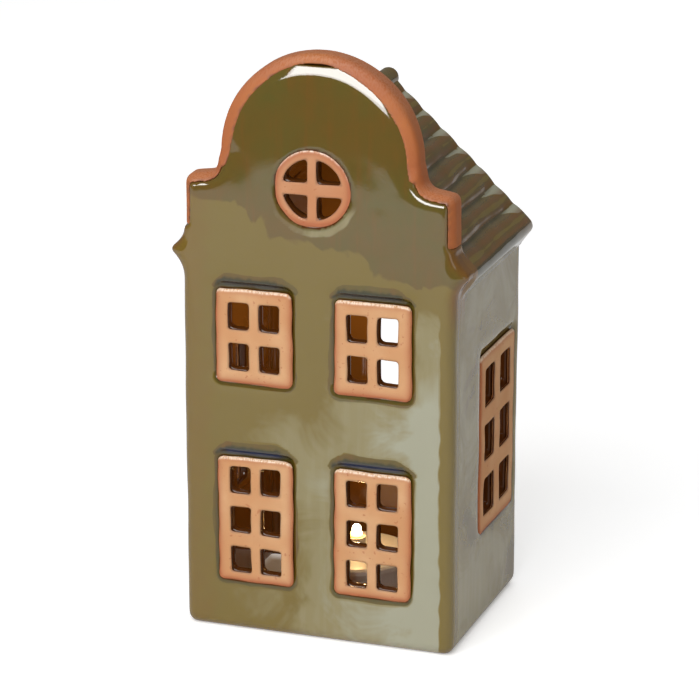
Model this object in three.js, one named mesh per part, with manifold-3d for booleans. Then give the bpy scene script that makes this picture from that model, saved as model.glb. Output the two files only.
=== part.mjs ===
// A light-up house: a glazed stoneware town house with an open base, standing over a battery tea light.
// The front is a thick gabled slab with a bare clay rim, and its bare clay window frames are pierced.
// Millimetres, +Z up, +Y to the back. The origin is at the middle of the base.
import * as THREE from 'three';
import { mergeVertices } from 'three/addons/utils/BufferGeometryUtils.js';
import Module from 'manifold-3d';

const wasm = await Module();
wasm.setup();

// The body
const bodyWidth = 87;
const bodyDepth = 69.5;
const wallThickness = 5;
const wallHeight = 113.2;
const cornerRound = 3.5;
const baseRound = 3.2;
const seatGap = 0.3;

// The front slab and its gable: rises are measured up from the top of the side walls
const slabDepth = 10.7;
const slabRearRound = 1.2;
const shoulderSetIn = 0.6;
const shoulderRise = 32;
const shoulderRound = 2.8;
const shoulderFlat = 3.6;
const notchRadius = 4.2;
const notchLift = 0.5;
const archFlare = 0.9;
const archRise = 40.5;
const wingReach = 4.1;
const wingRise = 7.8;
const wingRound = 1.3;
const wingDrop = 8.5;
const wingLean = 55;
const rimWidth = 3;
const rimFootRise = 16.1;

// The roof
const roofPitch = 43.1;
const roofShell = 5.2;
const eaveReach = 4.1;
const eaveRise = 8.4;
const eaveRound = 1.8;
const ribPitch = 8.1;
const ribDepth = 1.1;
const ridgeRollRadius = 3.4;
const ridgeRollLift = 0.6;

// The windows
const frameThickness = 1.3;
const moatWidth = 1.6;
const frameCorner = 2.4;
const paneCorner = 0.8;
const windowColumns = 2;
const frontFrameWidth = 24.8;
const frontPaneWidth = 6.4;
const frontMullion = 3.4;
const frontTransom = 4.6;
const upperSillHeight = 80.7;
const upperFrameHeight = 30.4;
const upperPaneHeight = 8.3;
const lowerSillHeight = 16;
const lowerFrameHeight = 41.2;
const lowerPaneHeight = 8.4;
const windowSpacing = 38;
const windowSetLeft = 1;
const roundWindowDrop = 9.3;
const roundFrameRadius = 12.5;
const roundPaneRadius = 9.4;
const roundMullion = 3.3;
const roundTransom = 4.2;
const sideSillHeight = 29;
const sideFrameHeight = 58.4;
const sideFrameWidth = 34.8;
const sidePaneWidth = 10;
const sidePaneHeight = 11.9;
const sideMullion = 5.4;
const sideTransom = 6;
const sideWindowMargin = 0.35;

// The vent in the back wall
const ventWidth = 11;
const ventSillHeight = 50;
const ventHeight = 42;

// The tea light
const lightX = 0.5;
const lightY = 1.5;
const shellHeight = 16.8;
const shellWall = 1.2;
const shellRound = 1.5;
const collarRadius = 2.8;
const collarHeight = 4.8;
const collarBore = 1.95;
const lensRadius = 1.5;
const lensHeight = 3.8;
const lensFlange = 0.4;
const lensFlangeHeight = 1;
const leadWidth = 0.5;
const leadSpacing = 2.54;
const leadRise = 1.6;
const basePlateLift = 0.5;
const basePlateThickness = 1.5;
const basePlateEdge = 0.4;

// The coin cell, its chamber and the door under it
const cellRadius = 10;
const cellThickness = 3.2;
const cellRimStep = 1.2;
const chamberWall = 1.2;
const chamberClearance = 0.9;
const leafRoom = 1.5;
const leafThickness = 0.3;
const leafWidth = 4;
const leafLength = 8;
const leafBow = 0.5;
const tailRise = 1;
const tailWidth = 1.4;
const busRise = 2.2;
const busWidth = 0.6;
const doorOverlap = 0.5;
const doorTabLength = 4.1;
const doorTabWidth = 6;
const doorSetBack = 0.6;
const hingeRodRadius = 0.7;
const hingeRodLength = 11;
const hingeWebLength = 7;
const hingeWebThickness = 0.8;
const screwInset = 2.6;
const screwShankRadius = 0.9;
const screwHeadRadius = 1.6;
const screwHeadHeight = 0.7;
const screwSlotWidth = 0.4;
const screwSlotDepth = 0.25;
const screwGrip = 2;
const screwClearance = 0.5;
const screwTipRoom = 1.2;
const bossHeight = 4;
const bossWidth = 10;
const bossLength = 4;

// The slide switch
const switchTravel = 3;
const switchClearance = 1.6;
const switchEdge = 1.9;
const knobWidth = 2.4;
const knobLength = 4;
const knobLift = 0.3;
const flangeWidth = 4;
const flangeLength = 8;
const flangeHeight = 0.9;
const wiperWidth = 1.8;
const wiperHeight = 1.1;
const wiperFoot = 1.4;
const wiperSlope = 0.6;
const wiperBridge = 1.3;
const terminalSpacing = 1.8;

// Finishes
const glaze = { color: 0x73703f, roughness: 0.18, metalness: 0 };
const clay = { color: 0xdc9a66, roughness: 0.85, metalness: 0 };
const rimClay = { color: 0xc47643, roughness: 0.8, metalness: 0 };
const whitePlastic = { color: 0xeceae4, roughness: 0.4, metalness: 0 };
const blackPlastic = { color: 0x2b2b2d, roughness: 0.5, metalness: 0 };
const nickel = { color: 0xc8c9cb, roughness: 0.3, metalness: 1 };
const warmLens = { color: 0xfff0c0, roughness: 0.1, metalness: 0, emissive: 0xffc766 };

// How finely round shapes are cut
const edgeSteps = 3;
const windowSegments = 32;
const lightSegments = 48;
const chamberSegments = 40;
const pinSegments = 16;

const halfWidth = bodyWidth / 2;
const halfDepth = bodyDepth / 2;
const frontY = -halfDepth;
const slabRearY = frontY + slabDepth;
const backWallY = halfDepth - wallThickness;
const innerHalfWidth = halfWidth - wallThickness;
const pitch = THREE.MathUtils.degToRad(roofPitch);

// How far a cutter runs past what it cuts
const overrun = 1;

// Turns a closed three.js geometry into a solid, with its faces pointing out
function toSolid(geometry) {
  const bare = geometry.clone();
  bare.deleteAttribute('normal');
  bare.deleteAttribute('uv');
  const merged = mergeVertices(bare, 1e-4);
  const position = merged.getAttribute('position');
  const index = merged.getIndex().array;
  const corner = [new THREE.Vector3(), new THREE.Vector3(), new THREE.Vector3()];
  const triangles = [];
  let volume = 0;
  for (let i = 0; i < index.length; i += 3) {
    const [a, b, c] = [index[i], index[i + 1], index[i + 2]];
    if (a === b || b === c || c === a) continue;
    triangles.push(a, b, c);
    [a, b, c].forEach((vertex, k) => corner[k].fromBufferAttribute(position, vertex));
    volume += corner[0].dot(corner[1].clone().cross(corner[2]));
  }
  if (volume < 0) triangles.reverse();
  const mesh = new wasm.Mesh({
    numProp: 3,
    vertProperties: new Float32Array(position.array),
    triVerts: new Uint32Array(triangles),
  });
  return new wasm.Manifold(mesh);
}

function toGeometry(solid) {
  const mesh = solid.getMesh();
  const indexed = new THREE.BufferGeometry();
  indexed.setAttribute('position', new THREE.BufferAttribute(new Float32Array(mesh.vertProperties), 3));
  indexed.setIndex(new THREE.BufferAttribute(new Uint32Array(mesh.triVerts), 1));
  indexed.computeVertexNormals();
  return indexed;
}

function extruded(outline, depth) {
  return new THREE.ExtrudeGeometry(new THREE.Shape(outline), { depth, bevelEnabled: false });
}

// An outline in X and Z, drawn out along Y
function prismAlongY(outline, y0, y1) {
  return toSolid(extruded(outline, y1 - y0).rotateX(Math.PI / 2).translate(0, y1, 0));
}

// An outline in Y and Z, drawn out along X
function prismAlongX(outline, x0, x1) {
  const turn = new THREE.Matrix4().set(0, 0, 1, x0, 1, 0, 0, 0, 0, 1, 0, 0, 0, 0, 0, 1);
  return toSolid(extruded(outline, x1 - x0).applyMatrix4(turn));
}

function box(x0, x1, y0, y1, z0, z1) {
  const geometry = new THREE.BoxGeometry(x1 - x0, y1 - y0, z1 - z0);
  return toSolid(geometry.translate((x0 + x1) / 2, (y0 + y1) / 2, (z0 + z1) / 2));
}

// A box given by its middle in X and Y and its two heights
function block(x, y, width, depth, z0, z1) {
  return box(x - width / 2, x + width / 2, y - depth / 2, y + depth / 2, z0, z1);
}

// A profile of [radius, height] pairs, turned about an upright axis
function turned(profile, segments, x = 0) {
  const points = profile.map(([radius, height]) => new THREE.Vector2(radius, height));
  const geometry = new THREE.LatheGeometry(points, segments);
  return toSolid(geometry.rotateX(Math.PI / 2).translate(x, 0, 0));
}

function disc(radius, z0, z1, segments, x = 0) {
  return turned([[0, z0], [radius, z0], [radius, z1], [0, z1]], segments, x);
}

// A square wire through a list of corners, each leg running along one axis
function wire(corners, thickness) {
  const half = thickness / 2;
  const legs = corners.slice(1).map((to, i) => {
    const span = corners[i].map((value, axis) => [Math.min(value, to[axis]), Math.max(value, to[axis])]);
    return box(...span.flatMap(([low, high]) => [low - half, high + half]));
  });
  return legs.reduce((whole, leg) => whole.add(leg));
}

function distinct(points) {
  const kept = points.filter((point, i) => i === 0 || point.distanceTo(points[i - 1]) > 1e-3);
  while (kept[0].distanceTo(kept[kept.length - 1]) < 1e-3) kept.pop();
  return kept;
}

function roundedRect(left, right, low, high, radius, steps) {
  const path = new THREE.Path();
  path.moveTo(left + radius, low);
  path.absarc(right - radius, low + radius, radius, -Math.PI / 2, 0, false);
  path.absarc(right - radius, high - radius, radius, 0, Math.PI / 2, false);
  path.absarc(left + radius, high - radius, radius, Math.PI / 2, Math.PI, false);
  path.absarc(left + radius, low + radius, radius, Math.PI, Math.PI * 1.5, false);
  return distinct(path.getPoints(steps));
}

function circle(centre, height, radius) {
  return Array.from({ length: windowSegments }, (_, i) => {
    const angle = (i / windowSegments) * Math.PI * 2;
    return new THREE.Vector2(centre + radius * Math.cos(angle), height + radius * Math.sin(angle));
  });
}

// The right half of an outline, drawn upwards, becomes the whole outline
function mirrored(half) {
  const beside = half.filter((point) => point.x > 1e-6).reverse();
  return half.concat(beside.map((point) => new THREE.Vector2(-point.x, point.y)));
}

// How far each point of an outline moves inwards, kept short where the outline turns tightly
function insets(outline, distance) {
  const straight = 0.03;
  const tightShare = 0.9;
  const spread = 0.5;
  const count = outline.length;
  const radii = outline.map((point, i) => {
    const before = point.clone().sub(outline[(i + count - 1) % count]);
    const after = outline[(i + 1) % count].clone().sub(point);
    const turn = Math.atan2(before.cross(after), before.dot(after));
    return turn > straight ? Math.min(before.length(), after.length()) / turn : Infinity;
  });
  const tight = outline.map((point, i) => {
    const nearby = [radii[(i + count - 1) % count], radii[i], radii[(i + 1) % count]];
    return Math.min(distance, tightShare * Math.min(...nearby));
  });
  return outline.map((point) => {
    return Math.min(...tight.map((reach, j) => reach + spread * point.distanceTo(outline[j])));
  });
}

function insetOutline(outline, reach, share = 1) {
  const count = outline.length;
  return outline.map((point, i) => {
    const before = point.clone().sub(outline[(i + count - 1) % count]).normalize();
    const after = outline[(i + 1) % count].clone().sub(point).normalize();
    const along = before.add(after).normalize();
    return new THREE.Vector2(point.x - along.y * reach[i] * share, point.y + along.x * reach[i] * share);
  });
}

// A slab of clay cut to a mirrored outline in X and Z, with its front and rear edges rolled over
function claySlab(outline, y0, y1, frontRound, rearRound) {
  const count = outline.length;
  const rolledEdge = (round, y, inwards) => {
    const reach = insets(outline, round);
    const steps = round > 0 ? edgeSteps : 0;
    return Array.from({ length: steps + 1 }, (_, k) => {
      const angle = steps > 0 ? (k / steps) * Math.PI / 2 : 0;
      return {
        points: insetOutline(outline, reach, 1 - Math.sin(angle)),
        y: y + inwards * round * (1 - Math.cos(angle)),
      };
    });
  };
  const rings = [...rolledEdge(frontRound, y0, 1), ...rolledEdge(rearRound, y1, -1).reverse()];
  const vertices = rings.flatMap((ring) => ring.points.flatMap((point) => [point.x, ring.y, point.y]));
  const faces = [];
  for (let k = 0; k < rings.length - 1; k++) {
    for (let i = 0; i < count; i++) {
      const next = (i + 1) % count;
      const [a, b, c, d] = [k * count + i, k * count + next, (k + 1) * count + i, (k + 1) * count + next];
      faces.push(a, c, b, b, c, d);
    }
  }
  const last = (rings.length - 1) * count;
  for (let i = 0; i < (count - 1) / 2; i++) {
    const [a, b, c, d] = [i, i + 1, count - 2 - i, count - 1 - i];
    faces.push(a, b, d, last + a, last + d, last + b);
    if (b !== c) faces.push(b, c, d, last + b, last + d, last + c);
  }
  const geometry = new THREE.BufferGeometry();
  geometry.setAttribute('position', new THREE.BufferAttribute(new Float32Array(vertices), 3));
  geometry.setIndex(faces);
  return toSolid(geometry);
}

function addPiece(parent, name, solid, finish) {
  const mesh = new THREE.Mesh(toGeometry(solid), new THREE.MeshStandardMaterial(finish));
  mesh.name = name;
  parent.add(mesh);
}

const house = new THREE.Group();

// The roof's outer line falls from the ridge to the eave, and its inner line runs a shell's thickness below
const eaveHeight = wallHeight + eaveRise;
const slopeRun = halfWidth + eaveReach;
const ridgeHeight = eaveHeight + slopeRun * Math.tan(pitch);
const innerRidgeHeight = ridgeHeight - (roofShell + ribDepth) / Math.cos(pitch);

// The hollow inside the house, as an outline in X and Z, drawn in from the walls and roof by a clearance
function hollowOutline(clearance) {
  const side = innerHalfWidth - clearance;
  const ridge = innerRidgeHeight - clearance / Math.cos(pitch);
  const eave = ridge - side * Math.tan(pitch);
  const corners = [[-side, -overrun], [side, -overrun], [side, eave], [0, ridge], [-side, eave]];
  return corners.map(([x, z]) => new THREE.Vector2(x, z));
}

// The front slab's outline: straight sides, flared wings, shoulders, a hollow notch and the round gable
const shoulderHalfWidth = halfWidth - shoulderSetIn;
const shoulderHeight = wallHeight + shoulderRise;
const notchX = shoulderHalfWidth - shoulderRound - shoulderFlat;
const archRadius = notchX - notchRadius - archFlare;
const archCentreHeight = wallHeight + archRise;
const rimFootHeight = wallHeight + rimFootRise;

function facadeOutline() {
  const wingHeight = wallHeight + wingRise;
  const wingFoot = wingHeight - wingDrop;
  const tipX = halfWidth + wingReach - wingRound;
  const lean = THREE.MathUtils.degToRad(wingLean);
  const underX = tipX + wingRound * Math.cos(lean);
  const underZ = wingHeight - wingRound * Math.sin(lean);
  const shoulderZ = shoulderHeight - shoulderRound;
  const notchZ = shoulderHeight + notchLift + notchRadius;
  const edgeSpace = 3 * cornerRound;
  const path = new THREE.Path();
  path.moveTo(halfWidth - baseRound, 0);
  path.absarc(halfWidth - baseRound, baseRound, baseRound, -Math.PI / 2, 0, false);
  path.lineTo(halfWidth, baseRound + edgeSpace);
  path.lineTo(halfWidth, wingFoot - edgeSpace);
  path.lineTo(halfWidth, wingFoot);
  path.quadraticCurveTo(halfWidth, (wingHeight + wingFoot) / 2, underX, underZ);
  path.absarc(tipX, wingHeight, wingRound, -lean, lean, false);
  path.quadraticCurveTo(shoulderHalfWidth, wingHeight + wingReach, shoulderHalfWidth, rimFootHeight);
  path.lineTo(shoulderHalfWidth, shoulderZ);
  path.absarc(shoulderHalfWidth - shoulderRound, shoulderZ, shoulderRound, 0, Math.PI / 2, false);
  path.absarc(notchX, notchZ, notchRadius, Math.PI * 1.5, Math.PI, true);
  path.absarc(0, archCentreHeight, archRadius, 0, Math.PI / 2, false);
  return mirrored(distinct(path.getPoints(4)));
}

// A rectangular window: its frame, the moat round it and its panes
function casement(centre, size) {
  const half = size.frameWidth / 2;
  const top = size.sill + size.frameHeight;
  const across = size.paneWidth + size.mullion;
  const up = size.paneHeight + size.transom;
  const firstLeft = centre - (windowColumns * across - size.mullion) / 2;
  const firstLow = (size.sill + top - size.rows * up + size.transom) / 2;
  const panes = [];
  for (let row = 0; row < size.rows; row++) {
    for (let column = 0; column < windowColumns; column++) {
      const left = firstLeft + column * across;
      const low = firstLow + row * up;
      panes.push(roundedRect(left, left + size.paneWidth, low, low + size.paneHeight, paneCorner, 1));
    }
  }
  const reach = half + moatWidth;
  return {
    frame: roundedRect(centre - half, centre + half, size.sill, top, frameCorner, 2),
    moat: roundedRect(
      centre - reach, centre + reach, size.sill - moatWidth, top + moatWidth, frameCorner + moatWidth, 2,
    ),
    panes,
  };
}

// The round window, with its four quarter panes
function roundWindow(centre, height) {
  const x0 = roundMullion / 2;
  const z0 = roundTransom / 2;
  const start = Math.asin(z0 / roundPaneRadius);
  const path = new THREE.Path();
  path.moveTo(x0, z0);
  path.lineTo(roundPaneRadius * Math.cos(start), z0);
  path.absarc(0, 0, roundPaneRadius, start, Math.acos(x0 / roundPaneRadius), false);
  const quarter = distinct(path.getPoints(3));
  return {
    frame: circle(centre, height, roundFrameRadius),
    moat: circle(centre, height, roundFrameRadius + moatWidth),
    panes: [[1, 1], [-1, 1], [-1, -1], [1, -1]].map(([right, up]) => {
      return quarter.map((point) => new THREE.Vector2(centre + right * point.x, height + up * point.y));
    }),
  };
}

const frontSize = {
  frameWidth: frontFrameWidth,
  paneWidth: frontPaneWidth,
  mullion: frontMullion,
  transom: frontTransom,
};
const upperSize = {
  ...frontSize, rows: 2, sill: upperSillHeight, frameHeight: upperFrameHeight, paneHeight: upperPaneHeight,
};
const lowerSize = {
  ...frontSize, rows: 3, sill: lowerSillHeight, frameHeight: lowerFrameHeight, paneHeight: lowerPaneHeight,
};
const leftCentre = -windowSetLeft - windowSpacing / 2;
const rightCentre = -windowSetLeft + windowSpacing / 2;
const frontWindows = {
  upper_left_window: casement(leftCentre, upperSize),
  upper_right_window: casement(rightCentre, upperSize),
  lower_left_window: casement(leftCentre, lowerSize),
  lower_right_window: casement(rightCentre, lowerSize),
  round_attic_window: roundWindow(-windowSetLeft, archCentreHeight - roundWindowDrop),
};

// The front slab, with its windows cut and the house's hollow taken out of its back
const outline = facadeOutline();
const slab = claySlab(outline, frontY, slabRearY, cornerRound, slabRearRound);
const archTop = archCentreHeight + archRadius;
const above = (z) => box(-bodyWidth, bodyWidth, frontY - overrun, slabRearY + overrun, z, archTop + overrun);
const inside = (width) => {
  const inner = insetOutline(outline, insets(outline, width));
  return prismAlongY(inner, frontY - 2 * overrun, slabRearY + 2 * overrun);
};
const rimRegion = above(rimFootHeight).subtract(inside(rimWidth));
const rimAndGap = above(rimFootHeight - seatGap).subtract(inside(rimWidth + seatGap));
const frameBackY = frontY + frameThickness;
let facade = slab.subtract(rimAndGap);
facade = facade.subtract(prismAlongY(hollowOutline(0), frontY + wallThickness, slabRearY + overrun));
for (const [name, { frame, moat, panes }] of Object.entries(frontWindows)) {
  let lattice = prismAlongY(frame, frontY, frameBackY);
  facade = facade.subtract(prismAlongY(moat, frontY - overrun, frameBackY));
  for (const pane of panes) {
    const cutter = prismAlongY(pane, frontY - overrun, slabRearY + overrun);
    facade = facade.subtract(cutter);
    lattice = lattice.subtract(cutter);
  }
  addPiece(house, name, lattice, clay);
}
addPiece(house, 'front_facade', facade, glaze);
addPiece(house, 'gable_rim', slab.intersect(rimRegion), rimClay);

// The side walls, each with one tall window near the back
const sideWindow = casement(backWallY - sideWindowMargin - sideFrameWidth / 2, {
  rows: 3,
  sill: sideSillHeight,
  frameWidth: sideFrameWidth,
  frameHeight: sideFrameHeight,
  paneWidth: sidePaneWidth,
  paneHeight: sidePaneHeight,
  mullion: sideMullion,
  transom: sideTransom,
});

// The foot of a side wall is rounded under, on its outer side
function wallSection(side) {
  const path = new THREE.Path();
  path.moveTo(innerHalfWidth, 0);
  path.lineTo(halfWidth - baseRound, 0);
  path.absarc(halfWidth - baseRound, baseRound, baseRound, -Math.PI / 2, 0, false);
  path.lineTo(halfWidth, wallHeight);
  path.lineTo(innerHalfWidth, wallHeight);
  return distinct(path.getPoints(2)).map((point) => new THREE.Vector2(side * point.x, point.y));
}

for (const [side, label] of [[1, 'right'], [-1, 'left']]) {
  const throughWall = (shape, near, far) => {
    return prismAlongX(shape, Math.min(side * near, side * far), Math.max(side * near, side * far));
  };
  const frameBackX = halfWidth - frameThickness;
  let wall = prismAlongY(wallSection(side), slabRearY, backWallY);
  let lattice = throughWall(sideWindow.frame, frameBackX, halfWidth);
  wall = wall.subtract(throughWall(sideWindow.moat, frameBackX, halfWidth + overrun));
  for (const pane of sideWindow.panes) {
    const cutter = throughWall(pane, innerHalfWidth - overrun, halfWidth + overrun);
    wall = wall.subtract(cutter);
    lattice = lattice.subtract(cutter);
  }
  addPiece(house, `${label}_wall`, wall, glaze);
  addPiece(house, `${label}_side_window`, lattice, clay);
}

// The back wall runs up under the roof as a gable, and has a tall arched vent
function backWallOutline() {
  const [, , eaveCorner, ridgeCorner] = hollowOutline(seatGap);
  const path = new THREE.Path();
  path.moveTo(halfWidth - baseRound, 0);
  path.absarc(halfWidth - baseRound, baseRound, baseRound, -Math.PI / 2, 0, false);
  path.lineTo(halfWidth, baseRound + 3 * cornerRound);
  path.lineTo(halfWidth, wallHeight);
  path.lineTo(eaveCorner.x, wallHeight);
  path.lineTo(eaveCorner.x, eaveCorner.y);
  path.lineTo(0, ridgeCorner.y);
  return mirrored(distinct(path.getPoints(2)));
}

function ventOutline() {
  const half = ventWidth / 2;
  const path = new THREE.Path();
  path.moveTo(-half, ventSillHeight);
  path.lineTo(half, ventSillHeight);
  path.absarc(0, ventSillHeight + ventHeight - half, half, 0, Math.PI, false);
  return distinct(path.getPoints(5));
}

const backWall = claySlab(backWallOutline(), backWallY, halfDepth, 0, cornerRound)
  .subtract(prismAlongY(ventOutline(), backWallY - overrun, halfDepth + overrun));
addPiece(house, 'back_wall', backWall, glaze);

// The roof slopes: a rounded rib every few millimetres, and an eave that hangs over the side wall
function roofSection(side) {
  const ribSteps = 4;
  const slopeLength = slopeRun / Math.cos(pitch);
  const ribCount = Math.floor((slopeLength - ridgeRollRadius) / ribPitch);
  const firstRib = slopeLength - ribCount * ribPitch;
  const onSlope = (along, out) => new THREE.Vector2(
    along * Math.cos(pitch) + out * Math.sin(pitch),
    ridgeHeight - along * Math.sin(pitch) + out * Math.cos(pitch),
  );
  const half = seatGap / 2;
  const points = [new THREE.Vector2(half, ridgeHeight - ribDepth / Math.cos(pitch))];
  for (let k = 0; k < ribCount * ribSteps; k++) {
    const rise = Math.sin((k % ribSteps) / ribSteps * Math.PI);
    points.push(onSlope(firstRib + k * ribPitch / ribSteps, ribDepth * (rise - 1)));
  }
  const tipX = slopeRun - eaveRound;
  const tipZ = eaveHeight - eaveRound * Math.sin(pitch) / 2;
  for (const degrees of [40, 5, -30]) {
    const angle = THREE.MathUtils.degToRad(degrees);
    points.push(new THREE.Vector2(tipX + eaveRound * Math.cos(angle), tipZ + eaveRound * Math.sin(angle)));
  }
  points.push(new THREE.Vector2(halfWidth, wallHeight));
  points.push(new THREE.Vector2(innerHalfWidth, wallHeight));
  points.push(new THREE.Vector2(innerHalfWidth, innerRidgeHeight - innerHalfWidth * Math.tan(pitch)));
  points.push(new THREE.Vector2(half, innerRidgeHeight - half * Math.tan(pitch)));
  return points.map((point) => new THREE.Vector2(side * point.x, point.y));
}

addPiece(house, 'roof_right', prismAlongY(roofSection(1), slabRearY, halfDepth), glaze);
addPiece(house, 'roof_left', prismAlongY(roofSection(-1), slabRearY, halfDepth), glaze);

// The roll along the ridge sits astride both slopes
function ridgeRollOutline() {
  const seat = ridgeHeight - (ribDepth - seatGap) / Math.cos(pitch);
  const centre = ridgeHeight + ridgeRollLift - ridgeRollRadius;
  const start = Math.asin((seat - centre) * Math.cos(pitch) / ridgeRollRadius) - pitch;
  const path = new THREE.Path();
  path.moveTo(0, seat);
  path.lineTo(ridgeRollRadius * Math.cos(start), centre + ridgeRollRadius * Math.sin(start));
  path.absarc(0, centre, ridgeRollRadius, start, Math.PI / 2, false);
  return mirrored(distinct(path.getPoints(4)));
}

addPiece(house, 'ridge_roll', prismAlongY(ridgeRollOutline(), slabRearY, halfDepth), glaze);

// The tea light stands inside on the same surface as the house
const light = new THREE.Group();
light.position.set(lightX, lightY, 0);

// Its base plate is just wide enough for the cell's chamber, the door's screw and the switch in a row
const chamberRadius = cellRadius + chamberClearance;
const doorRadius = cellRadius + doorOverlap;
const chamberReach = basePlateEdge + chamberWall + chamberRadius;
const screwReach = doorRadius + doorTabLength - screwInset;
const switchReach = (bossLength + flangeWidth) / 2 + switchClearance;
const plateRadius = (chamberReach + screwReach + switchReach + flangeWidth / 2 + switchEdge) / 2;
const shellRadius = plateRadius + seatGap + shellWall;
const cellX = chamberReach - plateRadius;
const screwX = cellX + screwReach;
const switchX = screwX + switchReach;

const plateTop = basePlateLift + basePlateThickness;
const ceiling = shellHeight - shellWall;
const collarTop = shellHeight + collarHeight;
const lensFoot = collarTop + seatGap;
const innerShellRadius = shellRadius - shellWall;

addPiece(light, 'light_shell', turned([
  [innerShellRadius, 0],
  [shellRadius, 0],
  [shellRadius, shellHeight - shellRound],
  [shellRadius - shellRound * 0.3, shellHeight - shellRound * 0.3],
  [shellRadius - shellRound, shellHeight],
  [collarRadius, shellHeight],
  [collarRadius, collarTop],
  [collarBore, collarTop],
  [collarBore, ceiling],
  [innerShellRadius, ceiling],
  [innerShellRadius, 0],
], lightSegments), whitePlastic);

const domeFoot = lensFoot + lensHeight - lensRadius;
addPiece(light, 'led_lens', turned([
  [0, lensFoot],
  [lensRadius + lensFlange, lensFoot],
  [lensRadius + lensFlange, lensFoot + lensFlangeHeight],
  [lensRadius, lensFoot + lensFlangeHeight],
  ...[0, 30, 60].map(THREE.MathUtils.degToRad).map((angle) => {
    return [lensRadius * Math.cos(angle), domeFoot + lensRadius * Math.sin(angle)];
  }),
  [0, domeFoot + lensRadius],
], pinSegments), warmLens);

// The cell's chamber stands on the base plate, and the door closes it from below
const cellFoot = plateTop + seatGap;
const cellTop = cellFoot + cellThickness;
const chamberCeiling = cellTop + leafRoom;
const chamberTop = chamberCeiling + chamberWall;
const doorTop = plateTop - seatGap;
const hingeX = cellX - doorRadius;
const hingeZ = (basePlateLift + doorTop) / 2;
const doorLength = screwReach + screwInset;
const cathodeX = -leadSpacing / 2;
const anodeX = leadSpacing / 2;
const leafY = -(cellRadius + seatGap + leafThickness / 2);

// The door's blade, and the hole that it leaves in the base plate when it is drawn with a gap
function doorBlade(gap, z0, z1) {
  const tab = box(cellX, cellX + doorLength + gap, -doorTabWidth / 2 - gap, doorTabWidth / 2 + gap, z0, z1);
  const bladeStart = hingeX + doorSetBack - gap;
  return disc(doorRadius + gap, z0, z1, chamberSegments, cellX)
    .add(tab)
    .subtract(box(hingeX - 2 * overrun, bladeStart, -doorRadius, doorRadius, z0 - overrun, z1 + overrun));
}

const rodPocket = block(
  hingeX, 0, 2 * (hingeRodRadius + seatGap), hingeRodLength + 2 * seatGap, basePlateLift - overrun, plateTop,
);
const chamber = turned([
  [chamberRadius, basePlateLift],
  [chamberRadius + chamberWall, basePlateLift],
  [chamberRadius + chamberWall, chamberTop],
  [0, chamberTop],
  [0, chamberCeiling],
  [chamberRadius, chamberCeiling],
  [chamberRadius, basePlateLift],
], chamberSegments, cellX);
const boss = block(screwX, 0, bossLength, bossWidth, plateTop, plateTop + bossHeight);
const boreTop = plateTop + screwGrip + screwTipRoom;
const bossBore = disc(screwShankRadius + screwClearance, 0, boreTop, pinSegments, screwX);
const knobSlot = block(
  switchX, 0, knobWidth + 2 * seatGap, knobLength + switchTravel + 2 * seatGap, 0, plateTop + overrun,
);
const tailSlot = box(
  cathodeX - leafWidth / 2, cathodeX + leadWidth, -tailWidth / 2 - seatGap, tailWidth / 2 + seatGap,
  chamberCeiling - overrun, chamberTop + overrun,
);
const stripSlot = block(
  cellX, leafY, leafWidth + 2 * seatGap, leafThickness + 3 * seatGap,
  chamberCeiling - overrun, chamberTop + overrun,
);
const basePlate = disc(plateRadius, basePlateLift, plateTop, lightSegments)
  .add(chamber)
  .add(boss)
  .subtract(doorBlade(seatGap, basePlateLift - overrun, plateTop))
  .subtract(rodPocket)
  .subtract(disc(chamberRadius, 0, chamberCeiling, chamberSegments, cellX))
  .subtract(bossBore)
  .subtract(knobSlot)
  .subtract(tailSlot)
  .subtract(stripSlot);
addPiece(light, 'base_plate', basePlate, whitePlastic);

const hingeRod = toSolid(
  new THREE.CylinderGeometry(hingeRodRadius, hingeRodRadius, hingeRodLength, pinSegments)
    .translate(hingeX, 0, hingeZ),
);
const hingeWeb = box(
  hingeX, hingeX + 2 * doorSetBack, -hingeWebLength / 2, hingeWebLength / 2,
  hingeZ - hingeWebThickness / 2, hingeZ + hingeWebThickness / 2,
);
const headTop = basePlateLift + screwHeadHeight;
const door = doorBlade(0, basePlateLift, doorTop)
  .add(hingeWeb)
  .add(hingeRod)
  .subtract(disc(screwHeadRadius + seatGap, 0, headTop, pinSegments, screwX))
  .subtract(disc(screwShankRadius + seatGap, 0, plateTop, pinSegments, screwX));
addPiece(light, 'battery_door', door, whitePlastic);

// The screw has a cross slot in its head
const slotTop = basePlateLift + screwSlotDepth;
const slotLength = 1.4 * screwHeadRadius;
const screw = disc(screwHeadRadius, basePlateLift, headTop - seatGap, pinSegments, screwX)
  .add(disc(screwShankRadius, basePlateLift, plateTop + screwGrip, pinSegments, screwX))
  .subtract(block(screwX, 0, slotLength, screwSlotWidth, 0, slotTop))
  .subtract(block(screwX, 0, screwSlotWidth, slotLength, 0, slotTop));
addPiece(light, 'door_screw', screw, nickel);

// The cell's upper can is narrower than its rim, with the insulating step between them
addPiece(light, 'coin_cell', turned([
  [0, cellFoot],
  [cellRadius - seatGap, cellFoot],
  [cellRadius, cellFoot + seatGap],
  [cellRadius, cellTop - 2 * seatGap],
  [cellRadius - cellRimStep, cellTop - seatGap],
  [cellRadius - cellRimStep, cellTop],
  [0, cellTop],
], chamberSegments, cellX), nickel);

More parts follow.
